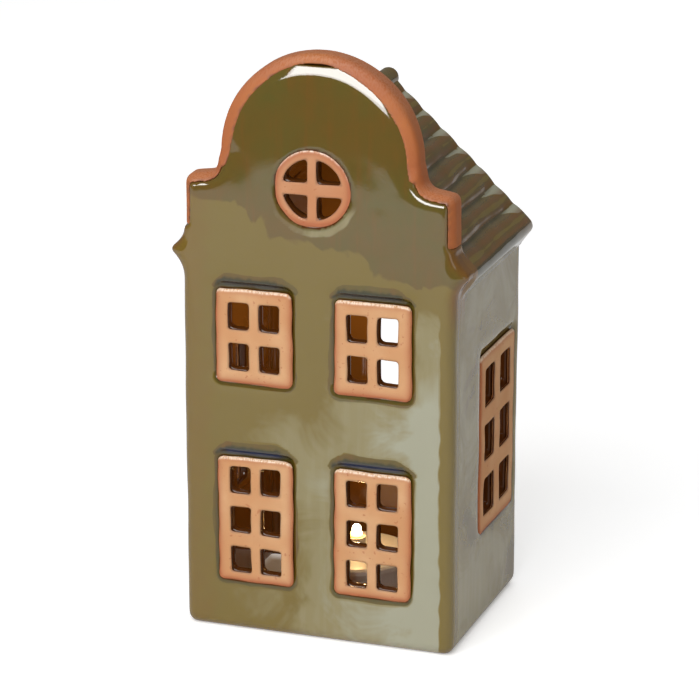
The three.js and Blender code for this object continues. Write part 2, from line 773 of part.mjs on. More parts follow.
// A springy leaf presses on the cell's top, and its tail comes up through the chamber's ceiling
const leafFoot = cellTop + seatGap;
const tailTop = chamberTop + tailRise;
const leafLine = [[cathodeX, leafBow], [cathodeX - leafLength / 2, 0], [cathodeX - leafLength, leafBow]];
const leafBlade = [...leafLine, ...leafLine.map(([x, z]) => [x, z + leafThickness]).reverse()]
  .map(([x, z]) => new THREE.Vector2(x, leafFoot + z));
const negativeContact = prismAlongY(leafBlade, -tailWidth / 2, tailWidth / 2)
  .add(block(cathodeX, 0, leafThickness, tailWidth, leafFoot + leafBow, tailTop));
addPiece(light, 'negative_contact', negativeContact, nickel);

// The switch is drawn at the end of its travel where the lamp is on
const knobY = switchTravel / 2;
const flangeFoot = plateTop + seatGap;
const flangeTop = flangeFoot + flangeHeight;
const wiperBase = flangeTop + seatGap;
const terminalFoot = wiperBase + wiperHeight + seatGap;
const knob = block(switchX, knobY, knobWidth, knobLength, knobLift, flangeTop)
  .add(block(switchX, knobY, flangeWidth, flangeLength, flangeFoot, flangeTop));
addPiece(light, 'switch_knob', knob, blackPlastic);

const bridgeFoot = wiperHeight - leafThickness;
const wiperHalf = wiperBridge + wiperSlope + wiperFoot;
const wiperLine = [
  [-wiperHalf, 0], [-wiperBridge - wiperSlope, 0], [-wiperBridge, bridgeFoot],
  [wiperBridge, bridgeFoot], [wiperBridge + wiperSlope, 0], [wiperHalf, 0],
];
const wiperOutline = [...wiperLine, ...wiperLine.map(([y, z]) => [y, z + leafThickness]).reverse()]
  .map(([y, z]) => new THREE.Vector2(knobY + y, wiperBase + z));
const wiper = prismAlongX(wiperOutline, switchX - wiperWidth / 2, switchX + wiperWidth / 2);
addPiece(light, 'switch_wiper', wiper, nickel);

// The positive contact stands beside the cell's rim, and its wire runs over the chamber to the switch
const busZ = chamberTop + busRise;
const busEndY = knobY - terminalSpacing / 2;
const positiveContact = block(cellX, leafY, leafWidth, leafThickness, cellFoot + seatGap, busZ)
  .add(wire([
    [cellX, leafY, busZ],
    [switchX, leafY, busZ],
    [switchX, busEndY, busZ],
    [switchX, busEndY, terminalFoot + busWidth / 2],
  ], busWidth));
addPiece(light, 'positive_contact', positiveContact, nickel);

// The lamp's two legs
const legTop = lensFoot - seatGap - leadWidth / 2;
const anodeZ = busZ + leadRise;
const anodeEndY = knobY + terminalSpacing / 2;
const cathodeFoot = tailTop + seatGap + leadWidth / 2;
addPiece(light, 'cathode_leg', wire([[cathodeX, 0, cathodeFoot], [cathodeX, 0, legTop]], leadWidth), nickel);
addPiece(light, 'anode_leg', wire([
  [anodeX, 0, legTop],
  [anodeX, 0, anodeZ],
  [switchX, 0, anodeZ],
  [switchX, anodeEndY, anodeZ],
  [switchX, anodeEndY, terminalFoot + leadWidth / 2],
], leadWidth), nickel);

const group = new THREE.Group();
group.add(house, light);

export default group;
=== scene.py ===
import math

import bmesh
import bpy
import numpy as np
from mathutils import Matrix, Vector


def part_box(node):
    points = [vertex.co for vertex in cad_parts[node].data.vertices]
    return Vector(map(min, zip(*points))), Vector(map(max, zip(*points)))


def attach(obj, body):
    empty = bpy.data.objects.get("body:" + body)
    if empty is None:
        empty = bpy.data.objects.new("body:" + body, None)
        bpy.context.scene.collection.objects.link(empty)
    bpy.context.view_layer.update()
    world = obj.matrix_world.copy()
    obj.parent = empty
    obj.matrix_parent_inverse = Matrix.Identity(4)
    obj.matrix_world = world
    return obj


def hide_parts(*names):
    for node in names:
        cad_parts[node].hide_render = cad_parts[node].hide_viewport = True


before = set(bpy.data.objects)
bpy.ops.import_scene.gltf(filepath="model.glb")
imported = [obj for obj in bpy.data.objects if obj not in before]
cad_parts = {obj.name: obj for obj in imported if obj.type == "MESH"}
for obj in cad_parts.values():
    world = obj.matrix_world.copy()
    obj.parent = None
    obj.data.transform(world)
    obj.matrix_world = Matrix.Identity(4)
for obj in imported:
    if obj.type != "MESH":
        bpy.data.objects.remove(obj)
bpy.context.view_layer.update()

# A glazed clay house that is set down over a battery tea light.
# Shapes are worked out in millimetres and become metres when a piece is finished.
MM = 0.001


def node_box(name):
    low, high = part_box(name)
    return np.array(low) / MM, np.array(high) / MM


FRONT_LOW, FRONT_HIGH = node_box("front_facade")
WALL_LOW, WALL_HIGH = node_box("right_wall")
BACK_LOW, BACK_HIGH = node_box("back_wall")
ROOF_LOW, ROOF_HIGH = node_box("roof_right")
RIM_LOW, RIM_HIGH = node_box("gable_rim")

FRONT_Y = FRONT_LOW[1]
SLAB_BACK_Y = FRONT_HIGH[1]
BACK_INNER_Y = BACK_LOW[1]
BACK_Y = BACK_HIGH[1]
HALF_WIDTH = WALL_HIGH[0]
INNER_HALF_WIDTH = WALL_LOW[0]
WALL_THICKNESS = HALF_WIDTH - INNER_HALF_WIDTH
WALL_HEIGHT = WALL_HIGH[2]

# The facade's outline
BASE_ROUND = 3.2
SHOULDER_HALF_WIDTH = RIM_HIGH[0]
SHOULDER_HEIGHT = WALL_HEIGHT + 32
SHOULDER_ROUND = 2.8
NOTCH_RADIUS = 4.2
NOTCH_X = SHOULDER_HALF_WIDTH - SHOULDER_ROUND - 3.6
NOTCH_HEIGHT = SHOULDER_HEIGHT + 0.5 + NOTCH_RADIUS
ARCH_RADIUS = NOTCH_X - NOTCH_RADIUS - 0.9
ARCH_HEIGHT = WALL_HEIGHT + 40.5
RIM_FOOT = RIM_LOW[2]
WING_HEIGHT = WALL_HEIGHT + 7.8
WING_ROUND = 1.3
WING_LEAN = math.radians(55)
WING_FOOT = WING_HEIGHT - 8.5

# The roof
PITCH = math.radians(43.1)
ROOF_SHELL = 5.2
RIB_DEPTH = 1.1
RIB_SPACING = 8.1
RIB_RADIUS = 4.9
RIB_REACH = 4.3
RIB_FADE = 10.0
EAVE_ROUND = 3.5
RIDGE_HEIGHT = WALL_HEIGHT + 8.4 + ROOF_HIGH[0] * math.tan(PITCH)
INNER_RIDGE = RIDGE_HEIGHT - (ROOF_SHELL + RIB_DEPTH) / math.cos(PITCH)
RIDGE_ROLL_RADIUS = 3.4

# The windows: pane width and height, and the bars between panes
FRAME_THICKNESS = 1.3
FRONT_PANE = {"width": 6.4, "mullion": 3.4, "transom": 4.6}
UPPER_PANE = {**FRONT_PANE, "height": 8.3, "rows": 2}
LOWER_PANE = {**FRONT_PANE, "height": 8.4, "rows": 3}
SIDE_PANE = {"width": 10.0, "height": 11.9, "mullion": 5.4, "transom": 6.0, "rows": 3}
ROUND_PANE_RADIUS = 9.4
ROUND_MULLION = 3.3
ROUND_TRANSOM = 4.2
FRAME_CORNER = 2.0
PANE_CORNER = 0.55

# How finely the clay is modelled
BODY_VOXEL = 0.62
FINE_VOXEL = 0.34


# Outlines, as points in a plane

def arc(centre_x, centre_z, radius, start, end, steps):
    angles = np.radians(np.linspace(start, end, steps + 1))
    return [(centre_x + radius * math.cos(a), centre_z + radius * math.sin(a)) for a in angles]


def bend(start, control, end, steps):
    points = []
    for t in np.linspace(0, 1, steps + 1):
        first = (1 - t) ** 2
        middle = 2 * t * (1 - t)
        points.append(tuple(first * s + middle * c + t * t * e for s, c, e in zip(start, control, end)))
    return points


def without_repeats(points):
    kept = []
    for point in points:
        if not kept or math.dist(point, kept[-1]) > 0.02:
            kept.append(point)
    if math.dist(kept[0], kept[-1]) < 0.02:
        kept.pop()
    return kept


def facade_half():
    tip_x = FRONT_HIGH[0] - WING_ROUND
    lean = math.degrees(WING_LEAN)
    under = (tip_x + WING_ROUND * math.cos(WING_LEAN), WING_HEIGHT - WING_ROUND * math.sin(WING_LEAN))
    over = (under[0], WING_HEIGHT + WING_ROUND * math.sin(WING_LEAN))
    waist = (HALF_WIDTH, (WING_HEIGHT + WING_FOOT) / 2)
    neck = (SHOULDER_HALF_WIDTH, WING_HEIGHT + 4.1)
    points = arc(HALF_WIDTH - BASE_ROUND, BASE_ROUND, BASE_ROUND, -90, 0, 6)
    points += bend((HALF_WIDTH, WING_FOOT), waist, under, 6)
    points += arc(tip_x, WING_HEIGHT, WING_ROUND, -lean, lean, 6)
    points += bend(over, neck, (SHOULDER_HALF_WIDTH, RIM_FOOT), 8)
    shoulder = (SHOULDER_HALF_WIDTH - SHOULDER_ROUND, SHOULDER_HEIGHT - SHOULDER_ROUND)
    points += arc(*shoulder, SHOULDER_ROUND, 0, 90, 6)
    points += arc(NOTCH_X, NOTCH_HEIGHT, NOTCH_RADIUS, 270, 180, 8)
    points += arc(0, ARCH_HEIGHT, ARCH_RADIUS, 0, 90, 24)
    return without_repeats(points)


def mirrored(half):
    return without_repeats(half + [(-x, z) for x, z in reversed(half)])


def rounded_rectangle(left, right, low, high, radius, steps=4):
    points = arc(right - radius, low + radius, radius, -90, 0, steps)
    points += arc(right - radius, high - radius, radius, 0, 90, steps)
    points += arc(left + radius, high - radius, radius, 90, 180, steps)
    points += arc(left + radius, low + radius, radius, 180, 270, steps)
    return without_repeats(points)


FACADE = mirrored(facade_half())


# The bare rim's width on the face, by the angle round the arch from its right, and below the arch
ARCH_FOOT = ARCH_HEIGHT - 4
RIM_ANGLES = [0, 30, 60, 84, 100, 130, 170, 184, 360]
RIM_WIDTHS = [2.8, 3.3, 3.1, 2.2, 2.3, 3.7, 4.1, 3.2, 2.8]
RIM_WIDTH_RIGHT = 1.9
RIM_WIDTH_LEFT = 2.2


def rim_width(x, z):
    angle = np.degrees(np.arctan2(z - ARCH_HEIGHT, x)) % 360
    below = np.where(x > 0, RIM_WIDTH_RIGHT, RIM_WIDTH_LEFT)
    return np.where(z < ARCH_FOOT, below, np.interp(angle, RIM_ANGLES, RIM_WIDTHS))


def inner_rim(cover):
    """The facade's outline drawn in by the rim's width, and on the arch by the cover less"""
    points = []
    count = len(FACADE)
    for k in range(count):
        x, z = FACADE[k]
        before = np.array(FACADE[k - 1])
        after = np.array(FACADE[(k + 1) % count])
        along = (after - before) / np.linalg.norm(after - before)
        inward = np.array([-along[1], along[0]])
        point = np.array([x, z]) + inward * (rim_width(x, z) - cover * (z >= ARCH_FOOT))
        points.append((float(point[0]), float(point[1])))
    return points


def split_outline(foot, cover=0.0):
    """The outline above a height, the same stretch along the rim's inner edge, and the outline below"""
    inner = inner_rim(cover)
    above = [k for k, point in enumerate(FACADE) if point[1] >= foot]
    outer_part = [FACADE[k] for k in above]
    inner_part = [(inner[k][0], max(inner[k][1], foot)) for k in above]
    below = [point for point in FACADE if point[1] < foot]
    return outer_part, inner_part, below


# Solids

def prism(outline, near, far, axis="Y"):
    """An outline extruded along an axis, with its first coordinate across and its second upwards"""
    bm = bmesh.new()
    if axis == "Y":
        corners = [(u, near, w) for u, w in outline]
        shift = (0, far - near, 0)
    else:
        corners = [(near, u, w) for u, w in outline]
        shift = (far - near, 0, 0)
    face = bm.faces.new([bm.verts.new(corner) for corner in corners])
    extruded = bmesh.ops.extrude_face_region(bm, geom=[face])["geom"]
    moved = [item for item in extruded if isinstance(item, bmesh.types.BMVert)]
    bmesh.ops.translate(bm, verts=moved, vec=shift)
    bmesh.ops.recalc_face_normals(bm, faces=bm.faces)
    return bm


def new_object(name, data):
    piece = bpy.data.objects.new(name, data)
    bpy.context.collection.objects.link(piece)
    return piece


def joined(parts):
    """One mesh object from several solids"""
    whole = bmesh.new()
    for part in parts:
        mesh = bpy.data.meshes.new("part")
        part.to_mesh(mesh)
        part.free()
        whole.from_mesh(mesh)
        bpy.data.meshes.remove(mesh)
    mesh = bpy.data.meshes.new("work")
    whole.to_mesh(mesh)
    whole.free()
    return new_object("work", mesh)


def mesh_of(piece):
    """The mesh of a work object, which goes away"""
    mesh = piece.data
    bpy.data.objects.remove(piece)
    return mesh


def discard(piece):
    bpy.data.meshes.remove(mesh_of(piece))


def solid_of(piece):
    bm = bmesh.new()
    bm.from_mesh(piece.data)
    discard(piece)
    return bm


def apply_modifiers(piece):
    bpy.context.view_layer.update()
    graph = bpy.context.evaluated_depsgraph_get()
    mesh = bpy.data.meshes.new_from_object(piece.evaluated_get(graph))
    old = piece.data
    piece.modifiers.clear()
    piece.data = mesh
    bpy.data.meshes.remove(old)


def cut_away(piece, cutters):
    tool = joined(cutters)
    cut = piece.modifiers.new("cut", "BOOLEAN")
    cut.operation = "DIFFERENCE"
    cut.solver = "EXACT"
    cut.use_self = True
    cut.object = tool
    apply_modifiers(piece)
    discard(tool)


def remesh(piece, voxel):
    skin = piece.modifiers.new("skin", "REMESH")
    skin.mode = "VOXEL"
    skin.voxel_size = voxel
    apply_modifiers(piece)


def soften(piece, rounds):
    soft = piece.modifiers.new("soft", "SMOOTH")
    soft.factor = 0.5
    soft.iterations = rounds
    apply_modifiers(piece)


def triples(items, key):
    flat = np.empty(len(items) * 3, dtype=np.float32)
    items.foreach_get(key, flat)
    return flat.reshape(-1, 3).astype(np.float64)


def coordinates(mesh):
    return triples(mesh.vertices, "co")


def normals(mesh):
    return triples(mesh.vertex_normals, "vector")


def place(mesh, points):
    mesh.vertices.foreach_set("co", points.astype(np.float32).ravel())
    mesh.update()


def store(mesh, **masks):
    """Keeps values for each point, which the materials read by name"""
    for name, values in masks.items():
        layer = mesh.attributes.new(name, "FLOAT", "POINT")
        layer.data.foreach_set("value", np.asarray(values, dtype=np.float32))


# Distances that shape the clay

def outline_distance(points, outline):
    best = np.full(len(points), 1e6)
    loop = np.array(outline)
    for start, end in zip(loop, np.roll(loop, -1, axis=0)):
        side = end - start
        share = np.clip((points - start) @ side / (side @ side), 0, 1)
        away = points - start - share[:, None] * side
        best = np.minimum(best, np.hypot(away[:, 0], away[:, 1]))
    return best


def frame_distance(u, w, shape):
    """How far a point lies outside a window's frame; negative within it"""
    if "radius" in shape:
        return np.hypot(u - shape["u"], w - shape["w"]) - shape["radius"]
    middle_u = (shape["left"] + shape["right"]) / 2
    middle_w = (shape["low"] + shape["high"]) / 2
    reach_u = np.abs(u - middle_u) - (shape["right"] - shape["left"]) / 2 + FRAME_CORNER
    reach_w = np.abs(w - middle_w) - (shape["high"] - shape["low"]) / 2 + FRAME_CORNER
    outside = np.hypot(np.maximum(reach_u, 0), np.maximum(reach_w, 0))
    inside = np.minimum(np.maximum(reach_u, reach_w), 0)
    return outside + inside - FRAME_CORNER


def smooth_step(low, high, value):
    t = np.clip((value - low) / (high - low), 0, 1)
    return t * t * (3 - 2 * t)


def rolled(distance, radius):
    """How far a face has rolled back at a distance in from its edge"""
    run = np.clip(radius - distance, 0, radius)
    return radius - np.sqrt(np.maximum(radius ** 2 - run ** 2, 0))


def wobble(points, size, seed):
    """A slow, smooth unevenness between -1 and 1, the same on every run"""
    picker = np.random.default_rng(seed)
    total = np.zeros(len(points))
    for _ in range(6):
        direction = picker.normal(size=3)
        direction /= np.linalg.norm(direction)
        stretch = 2 * math.pi / (size * picker.uniform(0.6, 1.5))
        total += np.sin(points @ direction * stretch + picker.uniform(0, 2 * math.pi))
    return total / 3.4


SLUMP = 0.16


def slumped(points):
    """The whole house leans and swells a little, but its foot stays flat"""
    firm = smooth_step(0, 12, points[:, 2])
    moved = points.copy()
    moved[:, 0] += SLUMP * firm * wobble(points, 26, 11)
    moved[:, 2] += SLUMP * firm * wobble(points, 22, 12)
    return moved


# The windows' places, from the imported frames

def casement(name, panes, across=0):
    low, high = node_box(name)
    return {
        "left": low[across], "right": high[across], "low": low[2], "high": high[2], "panes": panes,
    }


ROUND_LOW, ROUND_HIGH = node_box("round_attic_window")
ROUND_SHAPE = {
    "u": (ROUND_LOW[0] + ROUND_HIGH[0]) / 2,
    "w": (ROUND_LOW[2] + ROUND_HIGH[2]) / 2,
    "radius": (ROUND_HIGH[0] - ROUND_LOW[0]) / 2,
}
FRONT_PANES = {
    "upper_left_window": UPPER_PANE, "upper_right_window": UPPER_PANE,
    "lower_left_window": LOWER_PANE, "lower_right_window": LOWER_PANE,
}
FRONT_SHAPES = {name: casement(name, panes) for name, panes in FRONT_PANES.items()}
FRONT_SHAPES["round_attic_window"] = ROUND_SHAPE
SIDE_SHAPE = casement("right_side_window", SIDE_PANE, across=1)


def pane_outlines(shape):
    if "radius" in shape:
        start = math.degrees(math.asin(ROUND_TRANSOM / 2 / ROUND_PANE_RADIUS))
        end = math.degrees(math.acos(ROUND_MULLION / 2 / ROUND_PANE_RADIUS))
        quarter = [(ROUND_MULLION / 2, ROUND_TRANSOM / 2)]
        quarter += arc(0, 0, ROUND_PANE_RADIUS, start, end, 10)
        return [
            [(shape["u"] + right * u, shape["w"] + up * w) for u, w in quarter]
            for right, up in ((1, 1), (-1, 1), (-1, -1), (1, -1))
        ]
    panes = shape["panes"]
    across = panes["width"] + panes["mullion"]
    rise = panes["height"] + panes["transom"]
    first_u = (shape["left"] + shape["right"] - across - panes["width"]) / 2
    first_w = (shape["low"] + shape["high"] - panes["rows"] * rise + panes["transom"]) / 2
    outlines = []
    for row in range(panes["rows"]):
        for column in range(2):
            left = first_u + column * across
            low = first_w + row * rise
            right = left + panes["width"]
            high = low + panes["height"]
            outlines.append(rounded_rectangle(left, right, low, high, PANE_CORNER, 2))
    return outlines


def pane_cutters(shape, near, far, axis="Y"):
    return [prism(pane, near, far, axis) for pane in pane_outlines(shape)]


def frame_outline(shape):
    if "radius" in shape:
        return arc(shape["u"], shape["w"], shape["radius"], 0, 352.5, 47)
    return rounded_rectangle(shape["left"], shape["right"], shape["low"], shape["high"], FRAME_CORNER)


# The glaze sinks towards each frame in a soft moat
MOAT_DEPTH = FRAME_THICKNESS + 0.12
GENTLE_DIP = 0.34
MOAT_ABOVE = 1.25
MOAT_BESIDE = -0.2
MOAT_BELOW = -1.8
MOAT_ROUND = -1.98
STEEP_SPREAD = 0.55
GENTLE_SPREAD = 2.6


def moat_shape(shape):
    """The groove round a frame is widest above it, where the glaze would run"""
    if "radius" in shape:
        return {**shape, "radius": shape["radius"] + MOAT_ROUND}
    return {
        **shape,
        "left": shape["left"] - MOAT_BESIDE,
        "right": shape["right"] + MOAT_BESIDE,
        "low": shape["low"] - MOAT_BELOW,
        "high": shape["high"] + MOAT_ABOVE,
    }


def moat(u, w, shape):
    distance = np.maximum(frame_distance(u, w, moat_shape(shape)), 0)
    steep = (MOAT_DEPTH - GENTLE_DIP) * np.exp(-(distance / STEEP_SPREAD) ** 2)
    if "radius" in shape:
        return steep
    return steep + GENTLE_DIP * np.exp(-(distance / GENTLE_SPREAD) ** 2)


# The radius of the front's rolled edge, and the heights between which it changes
FOOT_ROLL = 3.4
SHOULDER_ROLL = 2.5
ARCH_ROLL = 12.0
SHOULDER_TURN = (122, 130)
ARCH_TURN = (139, 154)


def on_arch(points):
    """How much of the gable's wide roll a point has: none at the shoulders, all of it round the arch"""
    return smooth_step(*ARCH_TURN, points[:, 2])


def front_roll(points):
    shoulder = smooth_step(*SHOULDER_TURN, points[:, 2])
    at_shoulder = FOOT_ROLL + (SHOULDER_ROLL - FOOT_ROLL) * shoulder
    return at_shoulder + (ARCH_ROLL - SHOULDER_ROLL) * on_arch(points)


# On the arch the glaze meets the rim part of the way down its roll
ROLL_START = 3.8
GLAZE_BACK = 0.3
RIM_DIVE = 1.6
RIM_SIDE = split_outline(RIM_FOOT)[1]


def front_depth(points):
    """How far the glazed front lies behind the front plane. It dives where the bare rim covers it"""
    flat = points[:, [0, 2]]
    x, z = flat.T
    edge = outline_distance(flat, FACADE)
    arch = on_arch(points)
    depth = rolled(edge + ROLL_START * arch, front_roll(points))
    under_rim = np.where(edge < 5.5, outline_distance(flat, RIM_SIDE), 9.0)
    covered = (edge < rim_width(x, z)) & (z > RIM_FOOT - 0.5)
    depth += RIM_DIVE * covered * smooth_step(0.6, 1.3, under_rim - 0.7 * arch)
    for shape in FRONT_SHAPES.values():
        depth = np.maximum(depth, moat(x, z, shape))
    return depth


def carve_front(points):
    near = points[:, 1] < SLAB_BACK_Y - 1
    carved = points.copy()
    limit = FRONT_Y + GLAZE_BACK + front_depth(points[near])
    carved[near, 1] = np.maximum(points[near, 1], limit)
    return carved


def carve_sides(points):
    carved = points.copy()
    near = (np.abs(points[:, 0]) > INNER_HALF_WIDTH + 0.6) & (points[:, 1] > SLAB_BACK_Y - 6)
    near &= points[:, 2] < WING_FOOT - 0.5
    limit = HALF_WIDTH - 0.05 - moat(points[near, 1], points[near, 2], SIDE_SHAPE)
    side = np.sign(points[near, 0])
    carved[near, 0] = side * np.minimum(np.abs(points[near, 0]), limit)
    return carved


def hollow_outline(clearance):
    side = INNER_HALF_WIDTH - clearance
    ridge = INNER_RIDGE - clearance / math.cos(PITCH)
    eave = ridge - side * math.tan(PITCH)
    return [(-side, -5), (side, -5), (side, eave), (0, ridge), (-side, eave)]


WALL_EXTRA = 3


def wall_block():
    """Walls and rear gable as one solid, rounded at the rear corners and underneath"""
    _, _, eave, ridge, _ = hollow_outline(-0.25)
    top = WALL_HEIGHT + WALL_EXTRA
    half = [(HALF_WIDTH, 0), (HALF_WIDTH, top), (eave[0], top), eave, ridge]
    bm = prism(mirrored(half), SLAB_BACK_Y - 4, BACK_Y - 0.1)
    rounded = []
    for edge in bm.edges:
        middle = (edge.verts[0].co + edge.verts[1].co) / 2
        upright = abs(middle.x) > HALF_WIDTH - 0.1 and middle.y > BACK_Y - 1
        foot = middle.z < 0.1 and (abs(middle.x) > HALF_WIDTH - 0.1 or middle.y > BACK_Y - 1)
        if (upright and edge.calc_length() > 50) or foot:
            rounded.append(edge)
    bmesh.ops.bevel(
        bm, geom=rounded, offset=BASE_ROUND, segments=6, profile=0.5, affect="EDGES", material=-1,
    )
    return bm


VENT_HALF_WIDTH = 5.5
VENT_LOW = 50
VENT_HIGH = 92


def vent_outline():
    points = [(-VENT_HALF_WIDTH, VENT_LOW), (VENT_HALF_WIDTH, VENT_LOW)]
    points += arc(0, VENT_HIGH - VENT_HALF_WIDTH, VENT_HALF_WIDTH, 0, 180, 12)
    return points


# A joint's plane lies a little off the faces beside it, so that the cut is clean
CUT_CLEARANCE = 0.35


def glazed_body():
    foot = RIM_FOOT - 0.12
    _, inner, below = split_outline(foot, cover=1.4)
    right_below = [point for point in below if point[0] > 0]
    left_below = [point for point in below if point[0] < 0]
    corner = [(SHOULDER_HALF_WIDTH, foot)]
    outline = right_below + corner + inner + [(-SHOULDER_HALF_WIDTH, foot)] + left_below
    slab = prism(without_repeats(outline), FRONT_Y, SLAB_BACK_Y - CUT_CLEARANCE)
    cutters = [prism(hollow_outline(0), FRONT_Y + WALL_THICKNESS, SLAB_BACK_Y + 2)]
    for shape in FRONT_SHAPES.values():
        cutters += pane_cutters(shape, FRONT_Y - 2, FRONT_Y + WALL_THICKNESS + 1)
    front = joined([slab])
    cut_away(front, cutters)
    walls = joined([wall_block()])
    cutters = [prism(hollow_outline(0), SLAB_BACK_Y - 6, BACK_INNER_Y + CUT_CLEARANCE)]
    stubs = []
    for side in (1, -1):
        cutters += pane_cutters(SIDE_SHAPE, side * (INNER_HALF_WIDTH - 1), side * (HALF_WIDTH + 2), "X")
        section = [(side * u, w) for u, w in roof_outline()]
        stubs.append(prism(section, SLAB_BACK_Y - 3, SLAB_BACK_Y + 4))
    cut_away(walls, cutters)
    cut_away(walls, [prism(vent_outline(), BACK_INNER_Y - 2, BACK_Y + 2)])
    body = joined([solid_of(front), solid_of(walls)] + stubs)
    remesh(body, BODY_VOXEL)
    points = coordinates(body.data)
    place(body.data, carve_sides(carve_front(points)))
    remesh(body, BODY_VOXEL)
    soften(body, 5)
    place(body.data, slumped(coordinates(body.data)))
    return body


def cut_off(mesh, plane, direction):
    """The part of a closed mesh behind a plane, closed again with a flat face"""
    bm = bmesh.new()
    bm.from_mesh(mesh)
    everything = bm.verts[:] + bm.edges[:] + bm.faces[:]
    result = bmesh.ops.bisect_plane(
        bm, geom=everything, dist=0.0005, plane_co=plane, plane_no=direction, clear_outer=True,
    )
    rim = [item for item in result["geom_cut"] if isinstance(item, bmesh.types.BMEdge)]
    if rim:
        bmesh.ops.triangle_fill(bm, edges=rim, use_beauty=True, use_dissolve=False)
        for edge in rim:
            edge.smooth = False
    part = bpy.data.meshes.new("part")
    bm.to_mesh(part)
    bm.free()
    return part


def finished(name, mesh, body, replaced, material, low=None, high=None):
    """Keeps a mesh in a box, if one is given, scales it to metres and hands it over as a piece"""
    if low is not None:
        place(mesh, np.clip(coordinates(mesh), low, high))
    place(mesh, coordinates(mesh) * MM)
    mesh.polygons.foreach_set("use_smooth", [True] * len(mesh.polygons))
    mesh.materials.clear()
    mesh.materials.append(material)
    mesh.name = name
    piece = new_object(name, mesh)
    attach(piece, body)
    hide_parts(*replaced)


# Materials

def give(tree, node, inputs):
    """Sets each input of a node, or links it where its value is another node's output"""
    for key, value in inputs.items():
        if isinstance(value, bpy.types.NodeSocket):
            tree.links.new(value, node.inputs[key])
        else:
            node.inputs[key].default_value = value


def add(tree, kind, inputs=None, **settings):
    node = tree.nodes.new(kind)
    for key, value in settings.items():
        setattr(node, key, value)
    give(tree, node, inputs or {})
    return node


def linear(red, green, blue):
    """A colour as seen on a screen, 0 to 255, turned into the values that a shader takes"""
    values = []
    for part in (red, green, blue):
        share = part / 255
        values.append(share / 12.92 if share <= 0.04045 else ((share + 0.055) / 1.055) ** 2.4)
    return (*values, 1)


def mix(tree, factor, first, second):
    return add(tree, "ShaderNodeMix", {0: factor, 6: first, 7: second}, data_type="RGBA").outputs[2]


def ramp(tree, value, low, high, start=0.0, end=1.0):
    return add(tree, "ShaderNodeMapRange", {
        "Value": value, "From Min": low, "From Max": high, "To Min": start, "To Max": end,
    }, interpolation_type="SMOOTHSTEP").outputs["Result"]


def between(tree, value, start, end):
    """A mask from 0 to 1 turned into a number from start to end"""
    return add(tree, "ShaderNodeMapRange", {"Value": value, "To Min": start, "To Max": end}).outputs["Result"]


def maths(tree, operation, first, second=0.0):
    return add(tree, "ShaderNodeMath", {0: first, 1: second}, operation=operation).outputs[0]


def times(tree, first, second):
    return maths(tree, "MULTIPLY", first, second)


def attribute(tree, name):
    return add(tree, "ShaderNodeAttribute", attribute_name=name).outputs["Fac"]


def noise(tree, where, scale, detail=2.0, roughness=0.5, distortion=0.0):
    return add(tree, "ShaderNodeTexNoise", {
        "Vector": where, "Scale": scale, "Detail": detail, "Roughness": roughness, "Distortion": distortion,
    }).outputs["Fac"]


def drawn_out_noise(tree, where, scale, detail=2.0):
    """Noise with a scale of its own along each axis"""
    stretched = add(tree, "ShaderNodeMapping", {"Vector": where, "Scale": scale})
    return noise(tree, stretched.outputs[0], 1.0, detail)


def new_group(name, inputs, outputs):
    group = bpy.data.node_groups.new(name, "ShaderNodeTree")
    for label, kind, value in inputs:
        socket = group.interface.new_socket(label, in_out="INPUT", socket_type=kind)
        if value is not None:
            socket.default_value = value
    for label, kind in outputs:
        group.interface.new_socket(label, in_out="OUTPUT", socket_type=kind)
    return group, group.nodes.new("NodeGroupInput"), group.nodes.new("NodeGroupOutput")


def make_grain_group():
    """Fine clay or plastic grain: a height and a mask of small dark specks"""
    group, given, result = new_group(
        "fine_grain",
        [("Vector", "NodeSocketVector", None), ("Scale", "NodeSocketFloat", 900.0),
         ("Specks", "NodeSocketFloat", 0.66)],
        [("Height", "NodeSocketFloat"), ("Speck", "NodeSocketFloat")],
    )
    where = given.outputs["Vector"]
    coarse = noise(group, where, given.outputs["Scale"], detail=4.0, roughness=0.62)
    wide_scale = times(group, given.outputs["Scale"], 0.55)
    wide = noise(group, where, wide_scale, detail=1.0, roughness=0.4)
    over = maths(group, "SUBTRACT", wide, given.outputs["Specks"])
    give(group, result, {"Height": coarse, "Speck": ramp(group, over, 0.0, 0.05)})
    return group


def make_mottle_group():
    """Slow drifts of colour, as a kiln leaves them"""
    group, given, result = new_group(
        "kiln_mottle",
        [("Vector", "NodeSocketVector", None), ("Scale", "NodeSocketFloat", 45.0)],
        [("Slow", "NodeSocketFloat"), ("Cloud", "NodeSocketFloat")],
    )
    where = given.outputs["Vector"]
    slow = noise(group, where, given.outputs["Scale"])
    finer = times(group, given.outputs["Scale"], 4.5)
    cloud = noise(group, where, finer, detail=5.0, roughness=0.6, distortion=0.3)
    give(group, result, {"Slow": ramp(group, slow, 0.32, 0.68), "Cloud": ramp(group, cloud, 0.3, 0.7)})
    return group


GRAIN = make_grain_group()
MOTTLE = make_mottle_group()


def place_group(tree, group, where, scale, **inputs):
    return add(tree, "ShaderNodeGroup", {"Vector": where, "Scale": scale, **inputs}, node_tree=group).outputs


def new_material(name, inputs):
    """A material, its node tree and shader, and the coordinates that its patterns follow"""
    material = bpy.data.materials.new(name)
    material.use_nodes = True
    tree = material.node_tree
    shader = tree.nodes["Principled BSDF"]
    give(tree, shader, inputs)
    return material, tree, shader, add(tree, "ShaderNodeTexCoord").outputs["Object"]


def bump(tree, shader, height, distance, strength=1.0, under=None):
    inputs = {"Height": height, "Distance": distance, "Strength": strength}
    if under is not None:
        inputs["Normal"] = under
    normal = add(tree, "ShaderNodeBump", inputs).outputs["Normal"]
    give(tree, shader, {"Normal": normal})
    return normal


